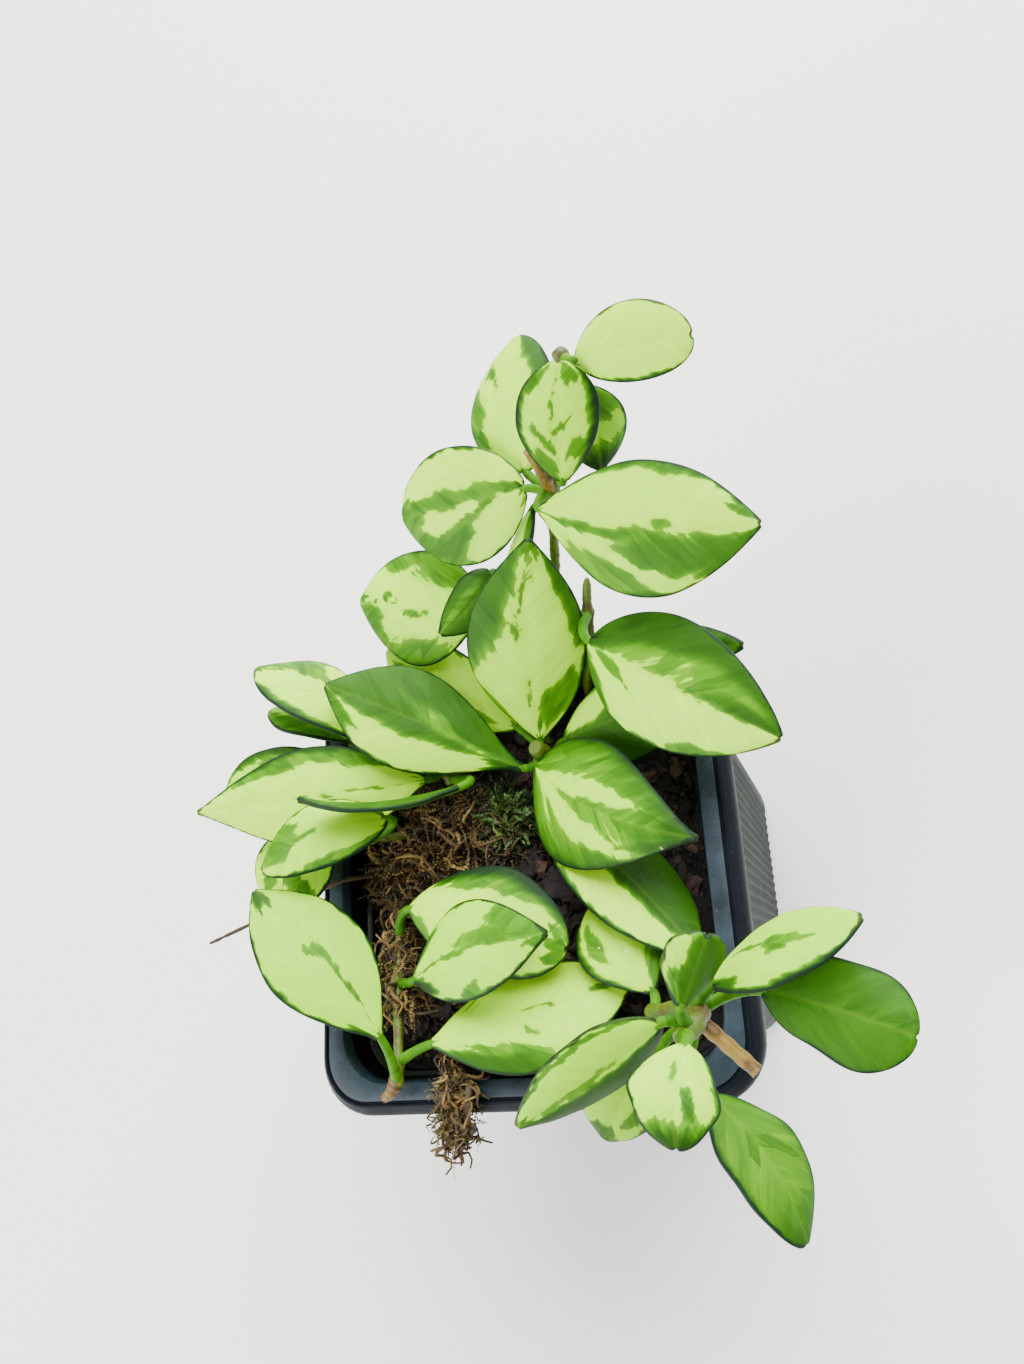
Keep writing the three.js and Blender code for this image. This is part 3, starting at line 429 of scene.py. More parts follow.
def relief(tree, height, strength, depth):
    """The normal of a surface that stands up by that height."""
    return add(tree, "ShaderNodeBump", {"Height": height, "Strength": strength, "Distance": depth}).outputs[0]


def place_in_space(tree):
    return add(tree, "ShaderNodeTexCoord").outputs["Object"]


# Helpers for shapes

def active():
    return bpy.context.view_layer.objects.active


def pick(piece):
    bpy.ops.object.select_all(action="DESELECT")
    piece.select_set(True)
    bpy.context.view_layer.objects.active = piece


def place(piece, points):
    """Puts each vertex of a piece at its point, given in millimetres."""
    piece.data.vertices.foreach_set("co", (np.asarray(points, float) * MM).ravel())
    piece.data.update()


def read_points(piece):
    """A piece's vertices, in metres."""
    points = np.empty(len(piece.data.vertices) * 3)
    piece.data.vertices.foreach_get("co", points)
    return points.reshape(-1, 3)


def store(mesh, name, kind, values):
    layer = mesh.attributes.new(name, kind, "POINT")
    layer.data.foreach_set("value" if kind == "FLOAT" else "vector", np.asarray(values, float).ravel())


def dress(piece, *skins):
    """Gives a piece these materials and no others."""
    piece.data.materials.clear()
    for skin in skins:
        piece.data.materials.append(skin)


def apply_all(piece):
    pick(piece)
    for modifier in list(piece.modifiers):
        bpy.ops.object.modifier_apply(modifier=modifier.name)


def settle(piece, slot, *nodes):
    """Rides the piece on the plant's one body, in place of its nodes."""
    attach(piece, "root")
    if nodes:
        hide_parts(*nodes)


def unit(v):
    v = np.asarray(v, float)
    return v / np.linalg.norm(v, axis=-1, keepdims=True)


def smooth_path(points, steps):
    """A centripetal spline through the points, sampled at even steps along its length."""
    p = np.asarray(points, float)
    p = np.vstack([2 * p[0] - p[1], p, 2 * p[-1] - p[-2]])
    fine = []
    for i in range(1, len(p) - 2):
        knots = [0.0]
        for a, b in zip(p[i - 1:i + 2], p[i:i + 3]):
            knots.append(knots[-1] + max(np.linalg.norm(b - a), 1e-6) ** 0.5)
        t0, t1, t2, t3 = knots
        for t in np.linspace(t1, t2, SPLINE_STEPS, endpoint=False):
            a1 = ((t1 - t) * p[i - 1] + (t - t0) * p[i]) / (t1 - t0)
            a2 = ((t2 - t) * p[i] + (t - t1) * p[i + 1]) / (t2 - t1)
            a3 = ((t3 - t) * p[i + 1] + (t - t2) * p[i + 2]) / (t3 - t2)
            b1 = ((t2 - t) * a1 + (t - t0) * a2) / (t2 - t0)
            b2 = ((t3 - t) * a2 + (t - t1) * a3) / (t3 - t1)
            fine.append(((t2 - t) * b1 + (t - t1) * b2) / (t2 - t1))
    fine = np.array(fine + [p[-2]])
    run = np.r_[0, np.cumsum(np.linalg.norm(np.diff(fine, axis=0), axis=1))]
    at = np.linspace(0, run[-1], steps)
    return np.stack([np.interp(at, run, fine[:, k]) for k in range(3)], axis=1), run[-1]


def tube(name, points, radii, roundness=3):
    """A round rod along points in millimetres, drawn as a bevelled curve and made a mesh."""
    bpy.ops.curve.primitive_nurbs_path_add()
    piece = active()
    piece.name = name
    curve = piece.data
    curve.splines.clear()
    spline = curve.splines.new("POLY")
    spline.points.add(len(points) - 1)
    for knot, point, radius in zip(spline.points, points, radii):
        knot.co = (*(np.asarray(point) * MM), 1)
        knot.radius = radius
    curve.bevel_depth = MM
    curve.bevel_resolution = roundness
    curve.use_fill_caps = True
    piece.location = (0, 0, 0)
    pick(piece)
    bpy.ops.object.convert(target="MESH")
    bpy.ops.object.shade_smooth()
    return active()


def joined(name, pieces):
    bpy.ops.object.select_all(action="DESELECT")
    for piece in pieces:
        piece.select_set(True)
    bpy.context.view_layer.objects.active = pieces[0]
    bpy.ops.object.join()
    active().name = name
    return active()


# The green of the leaves, place by place

def margin_share(across, along, side, reach):
    """How strongly a margin colours each place."""
    if side in ("west", "east"):
        return 1 / (1 + np.exp((across - reach) * (LINE_SHARPNESS if side == "west" else -LINE_SHARPNESS)))
    edge = np.maximum({"left": 1 + across, "right": 1 - across, "tip": 1 - along}[side], 0)
    return 1 / (1 + (edge / reach) ** 4)


def length_share(along, start=0, stop=1):
    """All of it between start and stop along the blade, and everywhere when they are its two ends."""
    if (start, stop) == (0, 1):
        return 1
    return 1 / (1 + np.exp(-(along - start) / END_SOFTNESS)) / (1 + np.exp((along - stop) / END_SOFTNESS))


def patch_share(across, along, at_across, at_along, half_wide, half_long, lean):
    """How strongly a leaning oval patch colours each place."""
    sideways = (across - at_across - lean * (along - at_along)) / half_wide
    lengthways = (along - at_along) / half_long
    return 1 / (1 + (PATCH_FULLNESS * (sideways ** 2 + lengthways ** 2)) ** 4)


def level_at(name, across, along):
    """The green level of a blade at places across and along it, the patches drawn a little uneven."""
    shift = len(name) * 1.7 + ord(name[-1])
    veins = along - 0.35 * np.abs(across)
    across = across + 0.022 * np.sin(23 * veins + shift) + 0.018 * np.sin(61 * veins + 7 * across + 2 * shift)
    along = along + 0.022 * np.sin(13 * across + shift) + 0.014 * np.sin(29 * across + 9 * veins + shift)
    level, _, _, margins, patches = TONES[name]
    field = np.full(across.shape, float(level))
    for side, height, reach, *run in margins:
        rise = height * margin_share(across, along, side, reach) * length_share(along, *run)
        field = np.maximum(field, level + rise) if height > 0 else field + rise
    for *shape, height in patches:
        rise = height * patch_share(across, along, *shape)
        field = np.maximum(field, level + rise) if height > 0 else field + rise
    field += BASE_GREEN / (1 + (along / BASE_REACH) ** 4)
    return np.clip(field, *LEVEL_RANGE)


def label(mesh, places, tones, yellow):
    """Stores what the skin reads at each point: its place in millimetres, its tones and its yellowness."""
    store(mesh, "blade", "FLOAT_VECTOR", np.stack(places, 1))
    store(mesh, "tones", "FLOAT_VECTOR", np.stack(tones, 1))
    store(mesh, "yellow", "FLOAT", yellow)


def label_blade(blade, name, number, length):
    """Labels a blade from the place that each of its points kept. A tone is green, edge and brightness; the
    brightness is partly painted shade.
    """
    kept = np.empty(len(blade.data.vertices) * 3)
    blade.data.attributes["place"].data.foreach_get("vector", kept)
    across, along, half = kept.reshape(-1, 3).T
    across, along = across.clip(-1, 1), along.clip(0, 1)
    edge = np.minimum(half * (1 - np.abs(across)), length * (1 - along) + 0.3 * half)
    _, yellow, tone_and_painted_shade, _, _ = TONES[name]
    flat = 0 * half
    label(blade.data, [across * half, length * along, flat + number * LEAF_SEED],
          [level_at(name, across, along), edge, flat + tone_and_painted_shade], flat + yellow)
    blade.data.attributes.remove(blade.data.attributes["place"])


# Shapes of the leaves

def half_width(width, full_base, full_tip, along):
    widest = full_base / (full_base + full_tip)
    t = np.clip(along, 1e-6, 1 - 1e-6)
    return width / 2 * (t / widest) ** full_base * ((1 - t) / (1 - widest)) ** full_tip


def bow(along):
    """A curve from 0 at both ends of the blade to 1 in the middle."""
    return 4 * along * (1 - along)


def outline(name, rng, across, along):
    """Half the blade's width. It wavers a little, and runs into the stalk and out to a small point."""
    width, full_base, full_tip = (LEAVES[name][k] for k in (4, 9, 10))
    uneven = WAVER * WAVY.get(name, 1)
    wave = sum(uneven * math.sin(rng.uniform(0, 6)) * np.sin(k * 5.5 * along + rng.uniform(0, 6) + across)
               for k in (1, 2, 3))
    half = half_width(width, full_base, full_tip, along) * (1 + wave)
    return np.hypot(half, STALK_HALF * (1 - along) ** 5) + TIP_HALF


def height_off(rng, across, along, half, length, arch, cup):
    """How far a blade stands off its own flat: arch, cup, midrib groove, turned edge and lumps."""
    reach = across * half
    lumps = sum(LUMP * np.sin(0.33 * k * reach + rng.uniform(0, 6))
                * np.sin(0.27 * k * length * along + rng.uniform(0, 6)) for k in (1, 1.7, 2.6))
    groove = -GROOVE_DEPTH * np.exp(-(reach / 0.4) ** 2) * np.sin(math.pi * np.clip(along, 0, 1)) ** 0.5
    turned = -EDGE_TURN * np.abs(across) ** 5
    arched = arch * bow(along) - cup * half * across ** 2
    return arched + groove + turned + lumps * np.minimum(1, half / 3)


def thicken(blade, across):
    """Makes the sheet plump, thinner to its edges, with the second skin on its lower side."""
    plump = blade.vertex_groups.new(name="plump")
    for i, at in enumerate(across):
        plump.add([i], float(0.55 + 0.45 * (1 - at ** 2)), "REPLACE")
    thick = blade.modifiers.new("thickness", "SOLIDIFY")
    thick.thickness = LEAF_THICK * MM
    thick.offset = 0
    thick.vertex_group = "plump"
    thick.thickness_vertex_group = 0
    thick.material_offset = 1
    round_off = blade.modifiers.new("round", "SUBSURF")
    round_off.levels = round_off.render_levels = 1
    apply_all(blade)
    bpy.ops.object.shade_smooth()


def stalk(name, number, base, lead, skins):
    """A stalk that swings from the stem into line with the midrib."""
    start = stem_point(*LEAVES[name][:2])
    turn = base - lead * 0.45 * np.linalg.norm(base - start)
    t = np.linspace(0, 1, 9)[:, None]
    path = (1 - t) ** 2 * start + 2 * t * (1 - t) * turn + t ** 2 * (base + lead * 0.8)
    radii = STALK_RADIUS + 0.25 * (1 - t[:, 0]) ** 3 - 0.12 * t[:, 0] ** 4
    piece = tube("stalk", path, radii)
    dress(piece, *skins)
    far = -np.linalg.norm(read_points(piece) / MM - base, axis=1)
    flat = 0 * far
    # The stalk takes its leaf's brightness, which is partly painted shade
    label(piece.data, [flat + 0.6, far, flat + number * LEAF_SEED],
          [flat + STALK_LEVEL, flat + 5, flat + TONES[name][2]], flat + 0.5)
    return piece


def leaf(name, number, skins):
    """One blade with its stalk, rolled about the line from its base to its tip."""
    _, _, base, tip, _, roll, arch, bend, cup, _, _ = LEAVES[name]
    base, tip = np.array(base, float), np.array(tip, float)
    length = np.linalg.norm(tip - base)
    onward = (tip - base) / length
    level = unit(np.cross(onward, (0, 0, 1)))
    up = np.cross(level, onward)
    angle = math.radians(roll)
    normal = up * math.cos(angle) + level * math.sin(angle)
    side = level * math.cos(angle) - up * math.sin(angle)

    rows = round(12 + length * 0.7)
    bpy.ops.mesh.primitive_grid_add(x_subdivisions=LEAF_COLUMNS, y_subdivisions=rows, size=1)
    blade = active()
    grid = read_points(blade)
    x, y = grid[:, 0] * 2, grid[:, 1] + 0.5
    across = 0.5 * x + 0.5 * np.sin(x * math.pi / 2)
    along = 0.3 * y + 0.7 * (1 - np.cos(y * math.pi)) / 2
    rng = random.Random(number)
    half = outline(name, rng, across, along)
    rise = height_off(rng, across, along, half, length, arch, cup)
    sway = bend * bow(along) + across * half
    place(blade, base + np.outer(length * along, onward) + np.outer(sway, side) + np.outer(rise, normal))
    store(blade.data, "place", "FLOAT_VECTOR", np.stack([across, along, half], 1))
    dress(blade, *skins)
    thicken(blade, across)
    label_blade(blade, name, number, length)

    lead = unit(onward * length + normal * 4 * arch + side * 4 * bend)
    piece = joined(f"hoya_leaf_{name}", [blade, stalk(name, number, base, lead, skins)])
    settle(piece, "leaf", f"leaf_{name}")


# Skin of the leaves

# Level against colour: cream, then lime, then greens down to the dark of the margin
LEVEL_SHADES = [(-1.0, "#ceff40"), (-0.35, "#c4fa26"), (-0.03, "#a4e000"), (0.0, "#649c00"),
                (0.16, "#508a00"), (0.4, "#387000"), (0.7, "#275400"), (0.95, "#1b4000"),
                (1.12, "#10300a"), (1.35, "#0a200c")]
LOWEST, HIGHEST = -1.0, 1.5


def vein_places(tree, blade):
    """The distance out from the midrib, and a function for places stretched along the side veins."""
    across, along, number = split(tree, blade)
    out = sums(tree, "ABSOLUTE", across)
    side = sums(tree, "MULTIPLY", sums(tree, "SIGN", across), 40.0)
    vein = sums(tree, "MULTIPLY_ADD", out, -VEIN_SLANT, along)
    seed = sums(tree, "ADD", number, side)

    def streaks(width, reach, shift):
        """Cells about that many millimetres across a vein and along it."""
        parts = {0: sums(tree, "DIVIDE", vein, width), 1: sums(tree, "DIVIDE", out, reach),
                 2: sums(tree, "ADD", seed, shift)}
        return add(tree, "ShaderNodeCombineXYZ", parts).outputs[0]

    return out, streaks


def streaked_level(tree, level, streaks):
    """The level of green broken up by cells along the veins, less so where the blade is green."""
    coarse = add(tree, "ShaderNodeSeparateColor", {0: cells(tree, streaks(2.3, 5.0, 0.0))["Color"]})
    fine = add(tree, "ShaderNodeSeparateColor", {0: cells(tree, streaks(0.9, 2.6, 9.0))["Color"]})
    soft = noise(tree, streaks(2.5, 5.0, 3.0), 1.0, 3.0)
    step = sums(tree, "MULTIPLY_ADD", coarse.outputs[0], COARSE_STEP, -COARSE_STEP / 2)
    step = sums(tree, "MULTIPLY_ADD", fine.outputs[0], FINE_STEP, step)
    step = sums(tree, "ADD", step, -FINE_STEP / 2)
    step = sums(tree, "MULTIPLY_ADD", sums(tree, "ADD", soft, -0.5), SOFT_STEP, step)
    calm = ranged(tree, level, 0.3, 0.62, 1.0, 0.4)
    return sums(tree, "MULTIPLY_ADD", step, calm, level)


def leaf_colour(tree, green, yellow):
    """The colour of each level of green. Pale parts lean towards yellow-green on some blades."""
    stops = [((at - LOWEST) / (HIGHEST - LOWEST), code) for at, code in LEVEL_SHADES]
    colour = ramp(tree, ranged(tree, green, LOWEST, HIGHEST), stops)
    pale = ranged(tree, green, 0.0, -0.05, 0.0, 0.95)
    return blend(tree, sums(tree, "MULTIPLY", pale, yellow), colour, linear("#9cdc00"))


def leaf_skin(name, under):
    """Fleshy waxed leaf: cream, lime and green patches cut along the side veins, with a dark margin."""
    material, tree, shader = new_material(name)
    blade = add(tree, "ShaderNodeAttribute", attribute_name="blade").outputs["Vector"]
    tones = add(tree, "ShaderNodeAttribute", attribute_name="tones").outputs["Vector"]
    yellow = add(tree, "ShaderNodeAttribute", attribute_name="yellow").outputs["Fac"]
    level, edge, tone_and_painted_shade = split(tree, tones)
    out, streaks = vein_places(tree, blade)
    colour = leaf_colour(tree, streaked_level(tree, level, streaks), yellow)

    # Light and dark run along the veins, and a faint line follows the midrib
    cloud = noise(tree, streaks(1.2, 3.0, 5.0), 1.0, 4.0)
    shading = blend(tree, cloud, linear("#a4b478"), linear("#ffffff"))
    colour = blend(tree, 0.45, colour, shading, "MULTIPLY")
    colour = blend(tree, ranged(tree, out, 0.1, 0.5, 0.08, 0.0), colour, linear("#86a828"))

    # Small dark specks, about one in 6 mm
    speck = cells(tree, streaks(1.0, 1.0, 20.0), 0.16)["Distance"]
    colour = blend(tree, ranged(tree, speck, 0.035, 0.02, 0.0, 0.7), colour, linear("#5b5a2a"))

    # The margin is a thin line of dark blue-green
    ragged = noise(tree, streaks(2.2, 2.2, 30.0), 1.0, 2.0)
    width = sums(tree, "MULTIPLY_ADD", ragged, 0.8, -0.05)
    line = ranged(tree, sums(tree, "SUBTRACT", edge, width), 0.18, -0.05, 0.0, 0.92)
    colour = blend(tree, line, colour, linear("#0d2412"))

    # Undersides are greyer and pale dust lies on both. Each leaf is multiplied by its own brightness, partly
    # its own tone and partly painted shade on leaves that lie under others
    if under:
        colour = blend(tree, 0.35, colour, linear("#708a38"))
    crumb = cells(tree, streaks(1.0, 1.0, 50.0), 0.13)["Distance"]
    colour = blend(tree, ranged(tree, crumb, 0.03, 0.018, 0.0, 0.75), colour, linear("#e9eadb"))
    shade = add(tree, "ShaderNodeCombineColor", {0: tone_and_painted_shade, 1: tone_and_painted_shade, 2: tone_and_painted_shade}).outputs[0]
    colour = blend(tree, 1.0, colour, shade, "MULTIPLY")

    # Waxed skin: even gloss, fine pores and the lightest relief of the veins
    pores = noise(tree, blade, 2.4, 5.0)
    smoothest, roughest = (0.58, 0.68) if under else (0.46, 0.6)
    uneven = sums(tree, "MULTIPLY_ADD", cloud, 0.6, pores)
    feed(shader, {"Base Color": colour, "Roughness": ranged(tree, pores, 0.0, 1.0, smoothest, roughest),
                  "Normal": relief(tree, uneven, 0.22, 0.0003), "IOR": 1.42, "Specular IOR Level": 0.16,
                  "Subsurface Weight": 0.12, "Subsurface Radius": (0.8, 1.0, 0.3),
                  "Subsurface Scale": 0.0012})
    return material


# Stems

def stem_point(name, spot):
    _, path = STEMS[name]
    points, _ = smooth_path(path, 401)
    return points[round(spot * 400)]


def stem_skin(name, young, old, worn):
    """Stem bark: smooth yellow-green when young, going over to dull tan cork with dark cracks."""
    material, tree, shader = new_material(name)
    where = place_in_space(tree)
    blotch = noise(tree, where, 260.0, 5.0, 0.65)
    share = ranged(tree, blotch, 0.62 - worn * 0.4, 0.74 - worn * 0.4)
    colour = blend(tree, share, linear(young), linear(old))
    crack = noise(tree, where, 900.0, 4.0)
    colour = blend(tree, ranged(tree, crack, 0.6, 0.7, 0.0, 0.55), colour, linear("#1e1004"))
    feed(shader, {"Base Color": colour, "Normal": relief(tree, crack, 0.5, 0.0003), "Roughness": 0.55})
    return material


def stem_radii(name, count, length):
    """Swollen where leaves join, a little uneven, and the right stem fine at its end."""
    radius, _ = STEMS[name]
    places = [row[1] for row in LEAVES.values() if row[0] == name]
    at = np.linspace(0, 1, count)
    swell = sum(np.exp(-(((at - spot) * length) / NODE_REACH) ** 2) for spot in places)
    rng = np.random.default_rng(len(name))
    fine_end = 1 - (0.6 * np.clip((at - 0.93) / 0.07, 0, 1) ** 2 if name == "right" else 0)
    return (radius + NODE_SWELL * np.minimum(swell, 1) + BARK_UNEVEN * rng.standard_normal(count)) * fine_end


def stem(name, skin):
    pieces = []
    for part in [name] + ARMS.get(name, []):
        _, path = STEMS[part]
        _, length = smooth_path(path, 10)
        count = max(12, round(length * 1.6))
        points, length = smooth_path(path, count)
        pieces.append(tube(f"stem_{part}", points, stem_radii(part, count, length), 4))
    piece = joined(f"hoya_stem_{name}", pieces) if len(pieces) > 1 else pieces[0]
    piece.name = f"hoya_stem_{name}"
    dress(piece, skin)
    settle(piece, "stem", f"stem_{name}")


def spur(name, skin):
    """A short knobbly side shoot, ringed by the scars of old flowers, that starts at its stem."""
    radius, taper, path = SPURS[name]
    points, _ = smooth_path(path, 26)
    t = np.linspace(0, 1, 26)
    piece = tube(f"hoya_spur_{name}", points, radius * (1 - taper * t) * (1 + 0.06 * np.sin(26 * t)), 4)
    dress(piece, skin)
    settle(piece, "stem")


# Pot

def wall_half(z):
    return WALL_FOOT_HALF + (WALL_TOP_HALF - WALL_FOOT_HALF) * z / POT_HEIGHT


def inside_half(z):
    return wall_half(z) - WALL_THICK - (LEDGE_STEP if z < LEDGE_Z else 0)


# Rounded squares as (half a side, corner radius, height), over the lip and then across the flat rim
LIP = [(36.2, 9.6, 77.8), (38.4, 9.4, 78.2), (38.9, 9.4, 77.7), (39.2, 9.5, 77.4), (39.7, 9.8, 77.4),
       (39.95, 9.95, 77.8), (40, 10, 78.6), (40, 10, 79.4), (39.8, 9.8, 80.2), (39.3, 9.4, 80.9),
       (38.85, 9, 81.4), (38.6, 8.7, 81.78), (38.35, 8.4, 81.92), (38.05, 8.2, 81.85),
       (37.85, 8, 81.62), (37.68, 7.85, 81.62)]
RIM = [(37.5, 7.7, 81.92), (37.2, 7.5, 82), (35.2, 8.0, 82), (34.7, 8.3, 81.85), (34.45, 8.5, 81.3)]
INSIDE = [(inside_half(80), 8.5, 79.5), (inside_half(LEDGE_Z) + 0.02, 8.5, LEDGE_Z + 0.25),
          (inside_half(LEDGE_Z) - 0.25, 8.4, LEDGE_Z), (inside_half(LEDGE_Z - 1), 8.3, LEDGE_Z - 0.15),
          (inside_half(40), 9, 40), (inside_half(4), 9.5, 4), (inside_half(2) - 1.5, 9, FLOOR_THICK),
          (27, 9, FLOOR_THICK)]


def square_ring(half, corner, z, flute=0.0, per_corner=10, per_side=120):
    """A closed rounded square of points, with rounded upright flutes of that depth along its sides."""
    ring = []
    for turn in range(4):
        start = turn * math.pi / 2
        cos, sin = math.cos(start), math.sin(start)
        centre = (half - corner) * np.array((cos - sin, sin + cos))
        for k in range(per_corner):
            angle = start + k / per_corner * math.pi / 2
            x, y = centre + corner * np.array((math.cos(angle), math.sin(angle)))
            ring.append((x, y, z))
        outward, along = np.array((-sin, cos)), np.array((-cos, -sin))
        for k in range(per_side):
            share = k / per_side
            deep = flute * (0.5 - 0.5 * math.cos(2 * math.pi * share * FLUTES_SHOWN)) ** 0.7
            x, y = centre + outward * (corner - deep) + along * share * 2 * (half - corner)
            ring.append((x, y, z))
    return ring + ring[:1]


def lathe_square(name, rows, skins=()):
    """A sheet of one ring per row, its seam merged and its two ends closed, with a skin for each row."""
    bpy.ops.mesh.primitive_grid_add(x_subdivisions=len(rows[0]) - 1, y_subdivisions=len(rows) - 1, size=1)
    piece = active()
    piece.name = name
    place(piece, np.concatenate([np.asarray(row) for row in rows]))
    for face in piece.data.polygons:
        face.material_index = skins[min(face.vertices) // len(rows[0])] if len(skins) else 0
    bpy.ops.object.mode_set(mode="EDIT")
    bpy.ops.mesh.select_all(action="SELECT")
    bpy.ops.mesh.remove_doubles(threshold=0.00001)
    bpy.ops.mesh.fill_holes(sides=0)
    bpy.ops.mesh.normals_make_consistent(inside=False)
    bpy.ops.object.mode_set(mode="OBJECT")
    return piece


def plastic(name, dark, light, gloss, scratch, mirror):
    """Moulded nursery plastic: dark, with handling haze, mineral specks and faint rubbing."""
    material, tree, shader = new_material(name)
    where = place_in_space(tree)
    haze = noise(tree, where, 90.0, 8.0, 0.7)
    grit = noise(tree, where, 1600.0, 3.0)
    colour = blend(tree, ranged(tree, haze, 0.35, 0.68), linear(dark), linear(light))
    colour = blend(tree, ranged(tree, grit, 0.66, 0.74, 0.0, scratch), colour, linear("#4c534e"))
    feed(shader, {"Base Color": colour, "Roughness": ranged(tree, haze, 0.3, 0.7, gloss, gloss + 0.18),
                  "Normal": relief(tree, grit, 0.15, 0.0001), "IOR": 1.49, "Specular IOR Level": mirror})
    return material


def drill(piece, x, y):
    """Cuts one drain hole through the floor."""
    bpy.ops.mesh.primitive_cylinder_add(vertices=32, radius=DRAIN_RADIUS * MM, depth=6 * MM,
                                        location=(x * MM, y * MM, 0.8 * MM))
    cutter = active()
    cut = piece.modifiers.new("drain", "BOOLEAN")
    cut.object = cutter
    pick(piece)
    bpy.ops.object.modifier_apply(modifier=cut.name)
    bpy.data.objects.remove(cutter)


def pot():
    """One profile carried round a rounded square: foot, fluted wall, rolled rim, inside, floor."""
    outside = [(27, 9, 0), (wall_half(0) - 0.9, 11, 0), (wall_half(0.4) - 0.2, 11.6, 0.5, 0.2)]
    outside += [(wall_half(z), 11.8 - 1.8 * z / 80, z, FLUTE_DEPTH) for z in (1.5, 20, 40, 60, 77)]
    skins = [0] * len(outside) + [2] * len(LIP) + [1] * len(RIM) + [3] * len(INSIDE)
    piece = lathe_square("nursery_pot", [square_ring(*row) for row in outside + LIP + RIM + INSIDE], skins)
    for x in (-DRAIN_OFFSET, DRAIN_OFFSET):
        for y in (-DRAIN_OFFSET, DRAIN_OFFSET):
            drill(piece, x, y)
    # The rim's flat top and its outer lip are the same plastic: the top is given a lighter colour as painted
    # light, and the lip a darker one as painted shade
    for skin in (plastic("pot_wall_plastic", "#151f1a", "#222d27", 0.5, 0.3, 0.08),
                 plastic("pot_rim_plastic_and_painted_light", "#0e171d", "#263740", 0.34, 0.8, 0.3),
                 plastic("pot_lip_plastic_painted_shade", "#04080d", "#0a1119", 0.42, 0.3, 0.1),
                 plastic("pot_inside_plastic", "#030404", "#090b0c", 0.24, 0.2, 0.3)):
        piece.data.materials.append(skin)
    pick(piece)
    bpy.ops.object.shade_smooth_by_angle(angle=math.radians(35))
    settle(piece, "pot_plastic", "pot")


# Scattered shapes

def rotation(rng, tilt):
    """A random turn about the upright, then a lean of up to that angle in any direction."""
    spin, lean, way = rng.uniform(0, 2 * math.pi), rng.uniform(0, tilt), rng.uniform(0, 2 * math.pi)
    turn = Matrix.Rotation(spin, 3, "Z")
    axis = Vector((math.cos(way), math.sin(way), 0))
    return np.array(Matrix.Rotation(lean, 3, axis) @ turn)


def aim(direction, rng):
    """A turn that carries the upright onto a direction, after a random spin."""
    way = Vector(direction).normalized()
    spin = Matrix.Rotation(rng.uniform(0, 6.28), 3, "Z")
    return np.array(way.to_track_quat("Z", "Y").to_matrix() @ spin)


def template(piece):
    """Takes a modelled shape's points, in millimetres, and faces, and clears the shape away."""
    points = read_points(piece) / MM
    faces = [tuple(face.vertices) for face in piece.data.polygons]
    bpy.data.objects.remove(piece)
    return points, faces


def scatter(name, copies, skin, smooth=True):
    """One piece from many copies of modelled shapes: (shape, turn, place, tone) each."""
    points, faces, tones, start = [], [], [], 0
    for (shape, corners), turn, spot, tone in copies:
        points.append(shape @ turn.T + spot)
        faces += [tuple(c + start for c in face) for face in corners]
        tones += [tone] * len(shape)
        start += len(shape)
    mesh = bpy.data.meshes.new(name)
    mesh.from_pydata((np.concatenate(points) * MM).tolist(), [], faces)
    store(mesh, "tone", "FLOAT", tones)
    piece = bpy.data.objects.new(name, mesh)
    bpy.context.collection.objects.link(piece)
    mesh.materials.append(skin)
    pick(piece)
    if smooth:
        bpy.ops.object.shade_smooth()
    return piece


def grain(name, codes, rough, scale, relief_strength, through=0.0):
    """A rough natural material whose colour runs through a few shades, by copy and by place."""
    material, tree, shader = new_material(name)
    cloud = noise(tree, place_in_space(tree), scale, 6.0, 0.65)
    tone = add(tree, "ShaderNodeAttribute", attribute_name="tone").outputs["Fac"]
    share = sums(tree, "ADD", sums(tree, "MULTIPLY_ADD", cloud, 0.9, -0.45), tone)
    colour = ramp(tree, share, [(k / (len(codes) - 1), code) for k, code in enumerate(codes)])
    feed(shader, {"Base Color": colour, "Normal": relief(tree, cloud, relief_strength, 0.0006),
                  "Roughness": rough, "Subsurface Weight": through, "Subsurface Scale": 0.001})
    return material


# Substrate

def soil_height(x, y):
    """The surface lies a little lower to the right, with lumps about a millimetre high."""
    lumps = np.sin(0.42 * x + 1.3) * np.sin(0.51 * y)
    lumps = lumps + 0.6 * np.sin(0.93 * x + 0.7 * y) * np.sin(0.8 * y - 0.5 * x + 2)
    fine = 0.35 * np.sin(2.1 * x + 1.1 * y) * np.sin(1.7 * y - 1.4 * x + 1)
    return SOIL_Z + 0.55 * lumps + 0.5 * fine - 0.012 * x


def substrate():
    top = inside_half(SOIL_Z) - 0.15
    rows = []
    for half in np.linspace(0.4, top, 46):
        ring = square_ring(half, half * 8.6 / top, 0, per_corner=8, per_side=36)
        rows.append([(x, y, soil_height(x, y)) for x, y, _ in ring])
    for z, corner, gap in ((60, 8.8, 0.2), (30, 9.1, 0.2), (3, 9.5, 0.2), (FLOOR_THICK + 0.1, 9, 2)):
        rows.append(square_ring(inside_half(z) - gap, corner, z, per_corner=8, per_side=36))
    piece = lathe_square("bark_mix", rows[::-1])
    piece.data.materials.append(grain("bark_mix_fines", SOIL_SHADES, 0.9, 700.0, 0.9))
    pick(piece)
    bpy.ops.object.shade_smooth_by_angle(angle=math.radians(60))
    settle(piece, "bark_soil", "substrate")


